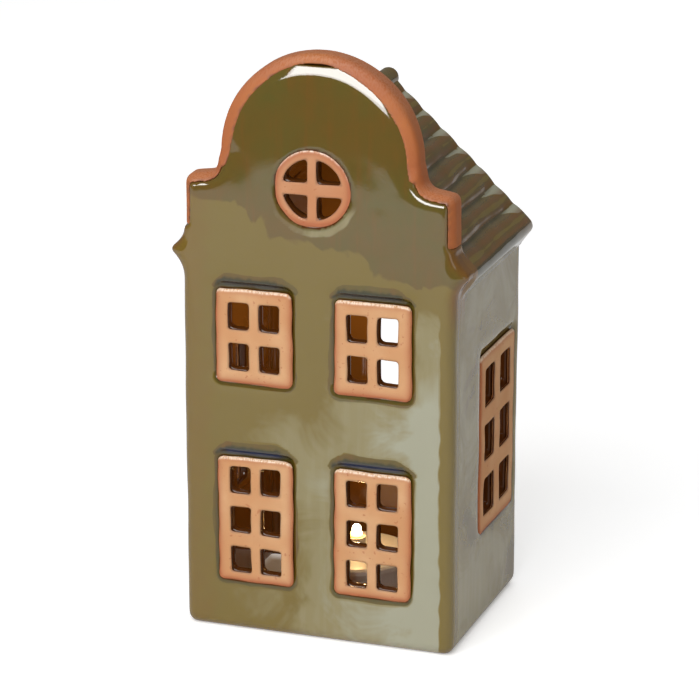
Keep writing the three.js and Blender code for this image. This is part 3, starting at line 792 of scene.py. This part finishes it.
OLIVE = linear(104, 82, 22)
GREEN_OLIVE = linear(96, 86, 28)
# The tan and the two grey-green colours below are painted reflections of the pale floor in the glaze
TAN_OLIVE = linear(122, 102, 32)
SAGE = linear(150, 139, 98)
PALE_SAGE = linear(168, 166, 142)
# Dark green of glaze pooling in the grooves, also used as painted shade
POOL_GREEN = linear(48, 50, 12)
# Painted reflection colour for the streak above the frames
POOL_BLUE = linear(36, 58, 96)
# Amber of thinner glaze, which on the roof also carries painted light
THIN_AMBER = linear(128, 78, 22)
REVEAL_BROWN = linear(84, 46, 16)
INTERIOR_AMBER = linear(112, 72, 28)
CLAY = linear(222, 172, 124)
CLAY_DEEP = linear(210, 150, 98)
# Redder clay at the frames' edges, partly painted shade
CLAY_RED = linear(182, 94, 50)
RIM_CLAY = linear(192, 110, 46)
RIM_DEEP = linear(180, 96, 42)
# Painted shade colour for the rim's sides
RIM_DUSK = linear(172, 106, 62)
BURNT = linear(92, 46, 18)


def glaze_colour(tree, where):
    """Olive, breaking through tan to grey-green in soft-edged clouds: painted reflections of the pale floor,
    and painted highlights on the roof
    """
    mottle = place_group(tree, MOTTLE, where, 38.0)
    colour = mix(tree, mottle["Slow"], OLIVE, GREEN_OLIVE)
    faint = times(tree, mottle["Cloud"], 0.16)
    colour = mix(tree, faint, colour, THIN_AMBER)
    runs = drawn_out_noise(tree, where, (420.0, 420.0, 38.0), detail=3.0)
    colour = mix(tree, ramp(tree, runs, 0.5, 0.75, 0.0, 0.3), colour, THIN_AMBER)
    clouds = noise(tree, where, 62.0, detail=3.0, distortion=0.6)
    clouds = ramp(tree, clouds, 0.25, 0.75, -0.5, 0.5)
    # Tan and grey-green clouds are painted reflections of the pale floor, with noisy edges
    tan = maths(tree, "ADD", attribute(tree, "tan"), times(tree, clouds, 0.9))
    colour = mix(tree, ramp(tree, tan, 0.44, 0.58), colour, TAN_OLIVE)
    drift = noise(tree, where, 34.0, detail=4.0, roughness=0.6, distortion=0.8)
    drift = ramp(tree, drift, 0.25, 0.75, -0.5, 0.5)
    sage = maths(tree, "ADD", attribute(tree, "sage"), times(tree, drift, 0.55))
    share = times(tree, ramp(tree, sage, 0.38, 0.78), ramp(tree, runs, 0.3, 0.62, 1.0, 0.82))
    colour = mix(tree, share, colour, SAGE)
    return mix(tree, ramp(tree, sage, 0.85, 1.2), colour, PALE_SAGE)


def make_glaze():
    material, tree, shader, where = new_material("olive_glaze", {"Roughness": 0.05, "IOR": 1.7})
    colour = glaze_colour(tree, where)
    # Thinner glaze at the edges and the foot; on the roof this mask carries painted light along the ribs
    thin = times(tree, attribute(tree, "thin"), 0.7)
    colour = mix(tree, thin, colour, THIN_AMBER)
    # Glaze pooling in the grooves, darkened further as painted shade above the frames and in the roof's
    # valleys
    pooled = attribute(tree, "pooled")
    colour = mix(tree, pooled, colour, POOL_GREEN)
    # A blue streak above the frames: painted reflection
    blue = times(tree, attribute(tree, "blue_core"), 0.85)
    colour = mix(tree, blue, colour, POOL_BLUE)
    colour = mix(tree, attribute(tree, "reveal"), colour, REVEAL_BROWN)
    colour = mix(tree, attribute(tree, "inside"), colour, INTERIOR_AMBER)
    duller = ramp(tree, attribute(tree, "reveal"), 0.0, 1.0, 0.5, 0.12)
    give(tree, shader, {"Base Color": colour, "Specular IOR Level": duller})
    waves = noise(tree, where, 70.0, detail=1.0, roughness=0.4)
    low = bump(tree, shader, waves, 0.00016)
    pinholes = noise(tree, where, 1400.0)
    bump(tree, shader, pinholes, 0.000004, under=low)
    return material


def make_clay(name, plain, deep, edge_colour, bright):
    """Bare fired clay; where the attribute says so, it carries dark glaze instead. Top edges get a painted
    highlight, and the edge colour is partly painted shade
    """
    material, tree, shader, where = new_material(name, {"IOR": 1.5})
    mottle = place_group(tree, MOTTLE, where, 55.0)
    grain = place_group(tree, GRAIN, where, 1500.0, Specks=0.70)
    colour = mix(tree, mottle["Slow"], plain, deep)
    faint = times(tree, mottle["Cloud"], 0.35)
    colour = mix(tree, faint, colour, deep)
    # Towards the edge colour: on the frames partly redder clay and partly painted shade, on the rim painted
    # shade on its sides
    edge = attribute(tree, "edge")
    colour = mix(tree, times(tree, edge, 0.85), colour, edge_colour)
    # On the top edges the colour turns towards white: a painted highlight, beside a real shine from lower
    # roughness
    streaks = drawn_out_noise(tree, where, (1900.0, 1900.0, 160.0))
    sheen = times(tree, attribute(tree, "top_edge"), ramp(tree, streaks, 0.3, 0.62))
    colour = mix(tree, times(tree, sheen, bright), colour, linear(255, 232, 208))
    colour = mix(tree, times(tree, grain["Speck"], 0.5), colour, edge_colour)
    burnt = attribute(tree, "burnt")
    colour = mix(tree, burnt, colour, BURNT)
    glazed = ramp(tree, attribute(tree, "glazed"), 0.35, 0.6)
    colour = mix(tree, glazed, colour, REVEAL_BROWN)
    dull = between(tree, sheen, 0.78, 0.34)
    dull = maths(tree, "SUBTRACT", dull, times(tree, burnt, 0.4))
    shine = maths(tree, "SUBTRACT", dull, times(tree, glazed, 0.42))
    give(tree, shader, {"Base Color": colour, "Roughness": maths(tree, "MAXIMUM", shine, 0.07)})
    matt = maths(tree, "SUBTRACT", 1.0, glazed)
    height = times(tree, grain["Height"], matt)
    bump(tree, shader, height, 0.00012, strength=0.6)
    return material


def make_plastic(name, colour, rough):
    material, tree, shader, where = new_material(name, {"IOR": 1.46})
    mottle = place_group(tree, MOTTLE, where, 120.0)
    grain = place_group(tree, GRAIN, where, 2600.0)
    darker = tuple(0.96 * part for part in colour[:3]) + (1,)
    clouded = mix(tree, mottle["Cloud"], colour, darker)
    uneven = between(tree, mottle["Slow"], rough - 0.06, rough + 0.06)
    give(tree, shader, {"Base Color": clouded, "Roughness": uneven})
    bump(tree, shader, grain["Height"], 0.00003)
    return material


def make_nickel():
    material, tree, shader, where = new_material("nickel_plate", {"Metallic": 1.0})
    mottle = place_group(tree, MOTTLE, where, 160.0)
    colour = mix(tree, mottle["Cloud"], linear(206, 205, 200), linear(178, 176, 168))
    lines = drawn_out_noise(tree, where, (300.0, 5000.0, 300.0))
    give(tree, shader, {"Base Color": colour, "Roughness": ramp(tree, lines, 0.2, 0.8, 0.2, 0.38)})
    bump(tree, shader, lines, 0.00001)
    return material


def make_lens():
    material, tree, shader, where = new_material("warm_lens", {
        "Roughness": 0.12, "IOR": 1.5, "Emission Strength": 12.0,
    })
    rise = add(tree, "ShaderNodeSeparateXYZ", {"Vector": where}).outputs["Z"]
    hot = ramp(tree, rise, 0.0222, 0.0250)
    glow = mix(tree, hot, linear(255, 178, 74), linear(255, 240, 196))
    body = mix(tree, noise(tree, where, 900.0), linear(255, 236, 190), linear(255, 222, 160))
    give(tree, shader, {"Base Color": body, "Emission Color": glow})
    return material


GLAZE = make_glaze()
# The last number sets the strength of the painted highlight on top edges
WINDOW_CLAY = make_clay("window_clay", CLAY, CLAY_DEEP, CLAY_RED, 0.75)
RIM_MATERIAL = make_clay("rim_clay", RIM_CLAY, RIM_DEEP, RIM_DUSK, 0.2)
WHITE_PLASTIC = make_plastic("white_moulding", linear(236, 233, 226), 0.42)
BLACK_PLASTIC = make_plastic("black_moulding", linear(42, 42, 45), 0.5)
NICKEL = make_nickel()
LENS = make_lens()


# The glazed body, made whole so that the glaze runs round the corners, then cut where its walls are joined

GLAZE_MASKS = ("pooled", "blue_core", "reveal", "inside", "thin", "sage", "tan")


def store_masks(mesh, **values):
    """Paints the glaze's masks. One that isn't named is nought all over"""
    nought = np.zeros(len(mesh.vertices))
    store(mesh, **{name: values.get(name, nought) for name in GLAZE_MASKS})


def glaze_masks(mesh):
    """Glaze pools and runs thinner; painted shade darkens the bands above the frames, and painted reflections
    of the floor lie as a blue streak and tan and grey-green clouds. Across and up are measured on the front
    """
    points = coordinates(mesh)
    x, y, z = points.T
    pooled, blue, reveal, halo = np.zeros((4, len(points)))
    front = y < FRONT_Y + 4.4
    ragged = wobble(points, 7.0, 51)
    fine = wobble(points, 3.2, 52)
    slow = wobble(points, 15.0, 53)
    for shape in FRONT_SHAPES.values():
        distance = frame_distance(x, z, shape)
        away = np.maximum(distance, 0)
        # Round each frame the glaze darkens: partly glaze pooling in the groove, partly painted shade, most
        # in the band above a frame
        if "radius" in shape:
            pooled = np.maximum(pooled, front * 0.3 * np.exp(-(away / 0.5) ** 2))
        else:
            above = smooth_step(-0.6, 0.6, z - shape["high"])
            middle = (shape["left"] + shape["right"]) / 2
            half = (shape["right"] - shape["left"]) / 2
            run = 1 - smooth_step(half * 0.6, half * 1.1, np.abs(x - middle + 0.8) + 0.5 * fine)
            beside = np.exp(-(away / 0.7) ** 2)
            band = 1 - smooth_step(0.8 + 1.9 * run, 1.8 + 2.1 * run, away + 0.3 * fine)
            pooled = np.maximum(pooled, front * np.maximum(0.5 * beside, 0.88 * band * above))
            # The halo is where the painted reflections are held back, widest above a frame
            reach = 0.9 + 3.8 * above * (0.35 + 0.65 * run) + 0.4 * slow
            halo = np.maximum(halo, front * (1 - smooth_step(reach - 0.9, reach + 0.9, distance)))
            # A blue streak just above the frame, strongest at the lower windows: painted reflection
            share = 1.0 if shape["low"] < 50 else 0.4
            core = np.exp(-((z - shape["high"] - 1.4) / 0.85) ** 2) * run ** 2 * share
            blue = np.maximum(blue, front * core)
        reveal = np.maximum(reveal, front & (distance < -0.2))
    within = (np.abs(x) < INNER_HALF_WIDTH + 0.7) & (y > FRONT_Y + WALL_THICKNESS - 0.7)
    within &= (y < BACK_INNER_Y + 0.7) & (z < 150)
    side = (np.abs(x) > INNER_HALF_WIDTH) & (y > SLAB_BACK_Y)
    distance = frame_distance(y, z, SIDE_SHAPE)
    pooled = np.maximum(pooled, side * 0.5 * np.exp(-(np.maximum(distance, 0) / 0.8) ** 2))
    reveal = np.maximum(reveal, side & (distance < -0.2))
    reveal = np.where(within, 0.0, reveal)
    edge = outline_distance(points[:, [0, 2]], FACADE)
    tips = np.exp(-(edge / 1.6) ** 2) * (y < SLAB_BACK_Y + 0.5)
    thin = tips * smooth_step(100, 116, z)
    thin = np.maximum(thin, 0.6 * np.exp(-(z / 1.6) ** 2))
    left_strip = 1 - smooth_step(-HALF_WIDTH + 3, -HALF_WIDTH + 13, x + 2 * ragged)
    thin = np.maximum(thin, 0.3 * front * left_strip)
    # Below a sloping line the front is painted tan: a painted reflection of the pale floor
    boundary = 141 - 0.3 * (x + HALF_WIDTH)
    tan = 1 - smooth_step(boundary - 7, boundary + 7, z)
    # Grey-green painted reflection grows to the right and downwards, beside the right edge and under the
    # round window
    attic = ROUND_SHAPE["w"]
    round_halo = np.hypot(x - ROUND_SHAPE["u"], z - attic) - ROUND_SHAPE["radius"]
    under_round = 1 - smooth_step(2.0, 3.2, round_halo + 0.5 * ragged)
    under_round *= 1 - smooth_step(attic - 9, attic + 1, z)
    rightward = smooth_step(-44, 34, x)
    sage = (0.15 + 0.95 * rightward) * (1 - smooth_step(34, 118, z - 24 * rightward))
    sage += 0.4 * smooth_step(28, 35.5, x + 2.2 * slow) * (1 - smooth_step(100, 120, z))
    sage = np.maximum(sage, 0.62 * under_round)
    # The halo and the front's corner keep no painted reflection and stay dark olive; the walls away from the
    # front get a fixed share of it
    corner = smooth_step(HALF_WIDTH - 4.6, HALF_WIDTH - 3.2, np.abs(x) + 0.4 * ragged) * (y < SLAB_BACK_Y)
    clear = (1 - halo) * (1 - corner)
    near = y < SLAB_BACK_Y - 4
    sage = np.where(near, sage * clear - 0.5 * (1 - clear), 0.62)
    tan = np.where(near, tan * (1 - halo) - 0.4 * halo, 0.8)
    store(mesh, pooled=pooled, blue_core=blue, reveal=reveal, inside=within, thin=thin, sage=sage, tan=tan)


def make_glazed_walls():
    body = glazed_body()
    whole = body.data
    front = cut_off(whole, (0, SLAB_BACK_Y, 0), (0, 1, 0))
    rest = cut_off(whole, (0, SLAB_BACK_Y, 0), (0, -1, 0))
    back = cut_off(rest, (0, BACK_INNER_Y, 0), (0, -1, 0))
    points = coordinates(back)
    spare_top = (np.abs(points[:, 0]) > INNER_HALF_WIDTH + 0.5) & (points[:, 2] > WALL_HEIGHT)
    points[spare_top, 2] = WALL_HEIGHT
    place(back, points)
    walls = cut_off(rest, (0, BACK_INNER_Y, 0), (0, 1, 0))
    middle = cut_off(walls, (0, 0, WALL_HEIGHT), (0, 0, 1))
    right = cut_off(middle, (0, 0, 0), (-1, 0, 0))
    left = cut_off(middle, (0, 0, 0), (1, 0, 0))
    parts = {
        "glazed_front": (front, "front_facade"),
        "glazed_right_wall": (right, "right_wall"),
        "glazed_left_wall": (left, "left_wall"),
        "glazed_back_wall": (back, "back_wall"),
    }
    for name, (mesh, node) in parts.items():
        glaze_masks(mesh)
        low, high = node_box(node)
        finished(name, mesh, "house", [node], GLAZE, low, high)
    for spare in (rest, walls, middle):
        bpy.data.meshes.remove(spare)
    discard(body)


# The bare rim of the gable, with the rolls of its front and rear edges
RIM_ROLL = 4.9
RIM_REAR_ROLL = 1.8
RIM_VOXEL = FINE_VOXEL * 1.2


def make_rim():
    outer, inner, _ = split_outline(RIM_FOOT, cover=-0.55)
    outline = without_repeats(outer + list(reversed(inner)))
    rim = joined([prism(outline, FRONT_Y, SLAB_BACK_Y)])
    remesh(rim, RIM_VOXEL)
    points = coordinates(rim.data)
    edge = outline_distance(points[:, [0, 2]], FACADE)
    arch = on_arch(points)
    beside_glaze = rolled(edge + ROLL_START * arch, front_roll(points)) * arch
    front = FRONT_Y + 0.02 + np.maximum(rolled(edge, RIM_ROLL), beside_glaze)
    back = SLAB_BACK_Y - rolled(edge, RIM_REAR_ROLL)
    points[:, 1] = np.clip(points[:, 1], front, back)
    place(rim.data, points)
    remesh(rim, RIM_VOXEL)
    soften(rim, 8)
    place(rim.data, slumped(coordinates(rim.data)))
    mesh = mesh_of(rim)
    points = coordinates(mesh)
    facing = normals(mesh)
    inner_edge = outline_distance(points[:, [0, 2]], inner)
    front_side = points[:, 1] < FRONT_Y + 7
    burnt = 0.75 * np.exp(-(inner_edge / 0.75) ** 2) * front_side
    ragged = 0.5 + 0.5 * wobble(points, 3.0, 21)
    # Painted shade on every face of the rim that doesn't face the front
    rear_edge = smooth_step(0.1, 0.8, facing[:, 1] + 0.45)
    # Upward faces of the rim get a weaker painted highlight
    top_edge = smooth_step(0.2, 0.7, facing[:, 2]) * 0.4
    store(mesh, burnt=burnt * ragged, edge=rear_edge, top_edge=top_edge, glazed=np.zeros(len(points)))
    finished("clay_gable_rim", mesh, "house", ["gable_rim"], RIM_MATERIAL, RIM_LOW, RIM_HIGH)


# The window frames. No two are quite alike
FRAME_ROLL = 1.15
PANE_ROLL = 0.4
HAND_WOBBLE = 0.17


def frame_edges(points, shape):
    """Each point's distance from the frame's outer edge, and from the nearest pane's edge"""
    outer = np.maximum(-frame_distance(points[:, 0], points[:, 2], shape), 0)
    pane_edge = np.full(len(points), 1e6)
    for pane in pane_outlines(shape):
        pane_edge = np.minimum(pane_edge, outline_distance(points[:, [0, 2]], pane))
    return outer, pane_edge


def make_frame(name, shape, node, side=0):
    """A pierced plate with soft edges. Side is 0 on the front, and 1 or -1 on a side wall"""
    plate = joined([prism(frame_outline(shape), 0, FRAME_THICKNESS)])
    cut_away(plate, pane_cutters(shape, -1, FRAME_THICKNESS + 1))
    remesh(plate, FINE_VOXEL)
    points = coordinates(plate.data)
    outer, pane_edge = frame_edges(points, shape)
    depth = rolled(outer, FRAME_ROLL) + 0.1 * (1 + wobble(points, 9, 61))
    depth = np.maximum(depth, rolled(pane_edge, PANE_ROLL))
    points[:, 1] = np.maximum(points[:, 1], 0.08 + depth)
    place(plate.data, points)
    remesh(plate, FINE_VOXEL)
    soften(plate, 4)
    mesh = mesh_of(plate)
    points = coordinates(mesh)
    facing = normals(mesh)
    shifted = points + np.array([7.0, 0, 3.0]) * (1 + len(name))
    points[:, 0] += HAND_WOBBLE * wobble(shifted, 8, 62)
    points[:, 2] += HAND_WOBBLE * wobble(shifted, 7, 63)
    outer, pane_edge = frame_edges(points, shape)
    well_inside = smooth_step(1.0, 1.6, outer)
    turned = smooth_step(0.35, 0.75, 1 - np.abs(facing[:, 1]))
    glazed = well_inside * turned * (pane_edge < 0.6)
    # The edge mask turns the frame redder and darker on edges that face aside or down, more on the left and
    # at the foot: partly the clay's redder edge, partly painted shade
    left = smooth_step(0.1, 0.8, -facing[:, 0])
    soft_edge = np.exp(-(outer / 1.5) ** 2) * (1 - smooth_step(0.0, 0.5, facing[:, 2]))
    foot = np.exp(-((points[:, 2] - points[:, 2].min()) / 2.2) ** 2)
    deeper = 0.5 if "radius" in shape else 0.0
    edge = np.clip(soft_edge * (0.85 + 0.5 * left) + 0.5 * foot + deeper, 0, 1)
    # Upward-facing edges near the outside get a painted highlight and a glossier finish
    top_edge = smooth_step(0.06, 0.45, facing[:, 2]) * (outer < 2.6) * (facing[:, 1] < 0.2)
    burnt = 0.5 * np.exp(-(pane_edge / 0.35) ** 2)
    store(mesh, glazed=glazed, edge=edge, top_edge=top_edge, burnt=burnt)
    placed = points.copy()
    if side:
        placed[:, 0] = side * (HALF_WIDTH - points[:, 1])
        placed[:, 1] = points[:, 0]
    else:
        placed[:, 1] = FRONT_Y + points[:, 1]
    place(mesh, slumped(placed))
    if side > 0:
        mesh.flip_normals()
    low, high = node_box(node)
    margin = np.array([0.0, 0.2, 0.2] if side else [0.2, 0.0, 0.2])
    finished(name, mesh, "house", [node], WINDOW_CLAY, low - margin, high + margin)


# The roof

def clay_roll(height, radius, near, far):
    """A long roll of clay with a round rear end"""
    bm = bmesh.new()
    bmesh.ops.create_cone(
        bm, cap_ends=True, segments=28, radius1=radius, radius2=radius, depth=far - near,
    )
    end = [edge for edge in bm.edges if min(vert.co.z for vert in edge.verts) > 0]
    bmesh.ops.bevel(
        bm, geom=end, offset=radius * 0.42, segments=5, profile=0.5, affect="EDGES", material=-1,
    )
    bmesh.ops.rotate(bm, verts=bm.verts, cent=(0, 0, 0), matrix=Matrix.Rotation(-math.pi / 2, 3, "X"))
    bmesh.ops.translate(bm, verts=bm.verts, vec=(0, (near + far) / 2, height))
    return bm


def roof_outline():
    """Half the roof in section, from the ridge down to the rounded eave and back along the inside"""
    tip_x = ROOF_HIGH[0] + 0.1 - EAVE_ROUND
    tip_z = RIDGE_HEIGHT + (-EAVE_ROUND - tip_x * math.sin(PITCH)) / math.cos(PITCH)
    points = [(0.15, RIDGE_HEIGHT)]
    points += arc(tip_x, tip_z, EAVE_ROUND, 90 - math.degrees(PITCH), -28, 8)
    points += [(HALF_WIDTH, WALL_HEIGHT), (HALF_WIDTH, WALL_HEIGHT - WALL_EXTRA)]
    points += [(INNER_HALF_WIDTH, WALL_HEIGHT - WALL_EXTRA)]
    points += [(INNER_HALF_WIDTH, INNER_RIDGE - INNER_HALF_WIDTH * math.tan(PITCH))]
    points += [(0.15, INNER_RIDGE - 0.15 * math.tan(PITCH))]
    return points


def rib_place(points, seed):
    """Each point's distance down the slope and out of it, its rib's number, and its way up from the crest"""
    slope = ROOF_HIGH[0] / math.cos(PITCH)
    rise = points[:, 2] - RIDGE_HEIGHT
    along = points[:, 0] * math.cos(PITCH) - rise * math.sin(PITCH) + 0.35 * wobble(points, 24, seed)
    out = points[:, 0] * math.sin(PITCH) + rise * math.cos(PITCH)
    step = (slope - along) / RIB_SPACING
    number = np.clip(np.floor(step), 0, 7).astype(int)
    from_crest = (step - number - 0.5) * RIB_SPACING
    return along, out, number, from_crest


def carve_ribs(points, seed):
    """Sinks the valleys between the ribs. They fade towards the rear edge, which is rounded over"""
    along, out, number, from_crest = rib_place(points, seed)
    lift = np.random.default_rng(seed).uniform(0.0, 0.3, 8)[number]
    valley = RIB_RADIUS - np.sqrt(RIB_RADIUS ** 2 - np.clip(from_crest, -RIB_REACH, RIB_REACH) ** 2)
    uneven = 1.2 * wobble(points, 9, seed + 1)
    fade = 0.25 + 0.75 * smooth_step(1.5, RIB_FADE, BACK_Y - points[:, 1] + uneven)
    lowest = (number == 0) & (from_crest < 0)
    depth = np.where(lowest, 0, valley * fade) + lift + rolled(BACK_Y - 0.1 - points[:, 1], 3.2)
    extra = np.where((out > -4.4) & (along > 0), np.maximum(out + depth, 0), 0)
    carved = points.copy()
    carved[:, 0] -= extra * math.sin(PITCH)
    carved[:, 2] -= extra * math.cos(PITCH)
    return carved


def make_roof(side):
    label = "right" if side > 0 else "left"
    roof = joined([prism(roof_outline(), SLAB_BACK_Y - 3, BACK_Y - 0.1)])
    remesh(roof, BODY_VOXEL)
    place(roof.data, carve_ribs(coordinates(roof.data), 31 + side))
    remesh(roof, BODY_VOXEL)
    soften(roof, 4)
    points = coordinates(roof.data)
    lumps = 0.14 * wobble(points, 13, 35 + side) * (points[:, 2] > WALL_HEIGHT + 5)
    points[:, 0] += lumps * math.sin(PITCH)
    points[:, 2] += lumps * math.cos(PITCH)
    points = np.clip(points, ROOF_LOW, ROOF_HIGH)
    _, _, _, up = rib_place(points, 31 + side)
    # The roof's colour pattern is painted light: pale wedges and stripes are painted highlights on the ribs,
    # most towards the rear, amber bands beside each crest are painted light, and the valleys get painted
    # shade
    rearward = smooth_step(19, 1, BACK_Y - points[:, 1] + 3 * wobble(points, 11, 37))
    wedge = smooth_step(4.3 - 4.4 * rearward, 5.2 - 4.4 * rearward, up) * smooth_step(0, 0.3, rearward)
    stripe = 0.9 * np.exp(-((up + 0.9) / 0.8) ** 2)
    warm = np.exp(-((up - 0.9) / 1.1) ** 2) + np.exp(-((up + 2.9) / 0.9) ** 2)
    valley = smooth_step(3.0, 4.0, np.abs(up)) * (1 - rearward)
    points[:, 0] *= side
    mesh = mesh_of(roof)
    place(mesh, points)
    if side < 0:
        mesh.flip_normals()
    under = (normals(mesh)[:, 2] < -0.3) & (np.abs(points[:, 0]) < INNER_HALF_WIDTH + 0.5)
    # Painted highlights go into the tan and grey-green masks, painted shade into the pooling mask, painted
    # light into the amber mask
    tan = np.maximum(stripe, wedge) - 0.1
    sage = 1.75 * wedge - 0.3
    store_masks(mesh, pooled=0.75 * valley, inside=under, thin=0.75 * warm, sage=sage, tan=tan)
    finished(f"ribbed_roof_{label}", mesh, "house", [f"roof_{label}"], GLAZE)


def make_ridge():
    _, high = node_box("ridge_roll")
    centre = high[2] - RIDGE_ROLL_RADIUS - 0.05
    roll = joined([clay_roll(centre, RIDGE_ROLL_RADIUS - 0.1, SLAB_BACK_Y + 0.01, BACK_Y - 0.2)])
    remesh(roll, FINE_VOXEL * 1.4)
    soften(roll, 6)
    points = coordinates(roll.data)
    points[:, 2] += 0.12 * wobble(points, 12, 41) - 0.1
    mesh = mesh_of(roll)
    place(mesh, points)
    store_masks(mesh)
    finished("glazed_ridge_roll", mesh, "house", ["ridge_roll"], GLAZE)


make_glazed_walls()
make_rim()
for window, shape in FRONT_SHAPES.items():
    make_frame(window.replace("window", "frame"), shape, window)
make_frame("right_side_frame", SIDE_SHAPE, "right_side_window", side=1)
make_frame("left_side_frame", SIDE_SHAPE, "left_side_window", side=-1)
make_roof(1)
make_roof(-1)
make_ridge()

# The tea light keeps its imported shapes, with its own finishes
FINISHES = {
    "light_shell": WHITE_PLASTIC, "base_plate": WHITE_PLASTIC, "battery_door": WHITE_PLASTIC,
    "led_lens": LENS, "switch_knob": BLACK_PLASTIC, "coin_cell": NICKEL, "door_screw": NICKEL,
    "negative_contact": NICKEL, "positive_contact": NICKEL, "cathode_leg": NICKEL, "anode_leg": NICKEL,
    "switch_wiper": NICKEL,
}
for node_name, material in FINISHES.items():
    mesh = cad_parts[node_name].data
    mesh.materials.clear()
    mesh.materials.append(material)


# Floor, lights and camera

def rays(tree):
    """Masks for what is seen straight or through clear parts, and for what is seen in a shine"""
    path = add(tree, "ShaderNodeLightPath").outputs
    return maths(tree, "MAXIMUM", path["Is Camera Ray"], path["Is Transmission Ray"]), path["Is Glossy Ray"]


def make_floor():
    bm = bmesh.new()
    bmesh.ops.create_grid(bm, x_segments=1, y_segments=1, size=1.0)
    bmesh.ops.scale(bm, verts=bm.verts, vec=(1.6, 1.25, 1))
    bmesh.ops.translate(bm, verts=bm.verts, vec=(0, 0.717, 0))
    mesh = bpy.data.meshes.new("floor")
    bm.to_mesh(mesh)
    bm.free()
    floor = new_object("floor", mesh)
    material, tree, shader, where = new_material("pale_floor", {
        "Roughness": 0.9, "Base Color": (0.9, 0.9, 0.9, 1), "Specular IOR Level": 0.0,
    })
    seen, glossy = rays(tree)
    strength = maths(tree, "MAXIMUM", times(tree, seen, 0.5), times(tree, glossy, 0.12))
    flat = add(tree, "ShaderNodeSeparateXYZ", {"Vector": where}).outputs
    # Under the house the floor's white glow is left out, so the floor is darker there: painted shade
    across = ramp(tree, maths(tree, "ABSOLUTE", flat["X"]), 0.036, 0.046)
    along = ramp(tree, maths(tree, "ABSOLUTE", flat["Y"]), 0.024, 0.034)
    strength = times(tree, strength, maths(tree, "MAXIMUM", across, along))
    give(tree, shader, {"Emission Color": (1, 1, 1, 1), "Emission Strength": strength})
    mesh.materials.append(material)


def make_world():
    world = bpy.data.worlds.new("studio")
    bpy.context.scene.world = world
    world.use_nodes = True
    tree = world.node_tree
    seen, _ = rays(tree)
    give(tree, tree.nodes["Background"], {"Color": (1, 1, 1, 1), "Strength": between(tree, seen, 0.2, 1.0)})


def area_light(name, azimuth, elevation, distance, width, height, radiance, glossy=True, diffuse=True):
    """A flat lamp that faces the house; azimuth runs from the front to the right"""
    lamp = bpy.data.lights.new(name, "AREA")
    lamp.shape = "RECTANGLE"
    lamp.size = width
    lamp.size_y = height
    lamp.energy = radiance * math.pi * width * height
    piece = new_object(name, lamp)
    az, el = math.radians(azimuth), math.radians(elevation)
    target = Vector((0, 0, 0.09))
    out = Vector((math.sin(az) * math.cos(el), -math.cos(az) * math.cos(el), math.sin(el)))
    piece.location = target + out * distance
    piece.rotation_euler = out.to_track_quat("Z", "Y").to_euler()
    piece.visible_camera = False
    piece.visible_glossy = glossy
    piece.visible_diffuse = diffuse


def point_light(name, centre, radius, power, colour):
    lamp = bpy.data.lights.new(name, "POINT")
    lamp.energy = power
    lamp.color = colour
    lamp.shadow_soft_size = radius
    piece = new_object(name, lamp)
    piece.location = centre
    return piece


def make_camera():
    picture_pixels = 700
    focal_pixels = 3619
    sensor = 36
    yaw = math.radians(19.43)
    pitch = math.radians(18.02)
    away, across, rise = 1.1502, -0.001142, 0.07976
    back = Vector((math.sin(yaw) * math.cos(pitch), -math.cos(yaw) * math.cos(pitch), math.sin(pitch)))
    right = Vector((math.cos(yaw), math.sin(yaw), 0))
    up = back.cross(right)
    centre = back * away + right * across + up * rise
    data = bpy.data.cameras.new("camera")
    data.sensor_width = sensor
    data.lens = focal_pixels / picture_pixels * sensor
    camera = new_object("camera", data)
    turn = Matrix((right, up, back)).transposed().to_4x4()
    camera.matrix_world = Matrix.Translation(centre) @ turn
    bpy.context.scene.camera = camera


make_floor()
make_world()
area_light("key_softbox", -8, 38, 1.2, 0.97, 1.0, 3.9)
area_light("right_fill", 62, 8, 1.5, 0.5, 0.9, 0.9)
area_light("rear_fill", 178, 40, 1.4, 1.2, 0.9, 1.4, glossy=False)
area_light("top_strip", -8, 28, 1.1, 0.92, 0.66, 9.0, diffuse=False)
point_light("led_glow", (0.0005, 0.0015, 0.0275), 0.0015, 0.009, (1.0, 0.6, 0.24))
bounced = point_light("bounced_glow", (0, 0, 0.098), 0.012, 0.05, (1.0, 0.74, 0.42))
bounced.visible_camera = False
bounced.visible_glossy = False
make_camera()

bpy.context.scene.view_settings.view_transform = "Standard"
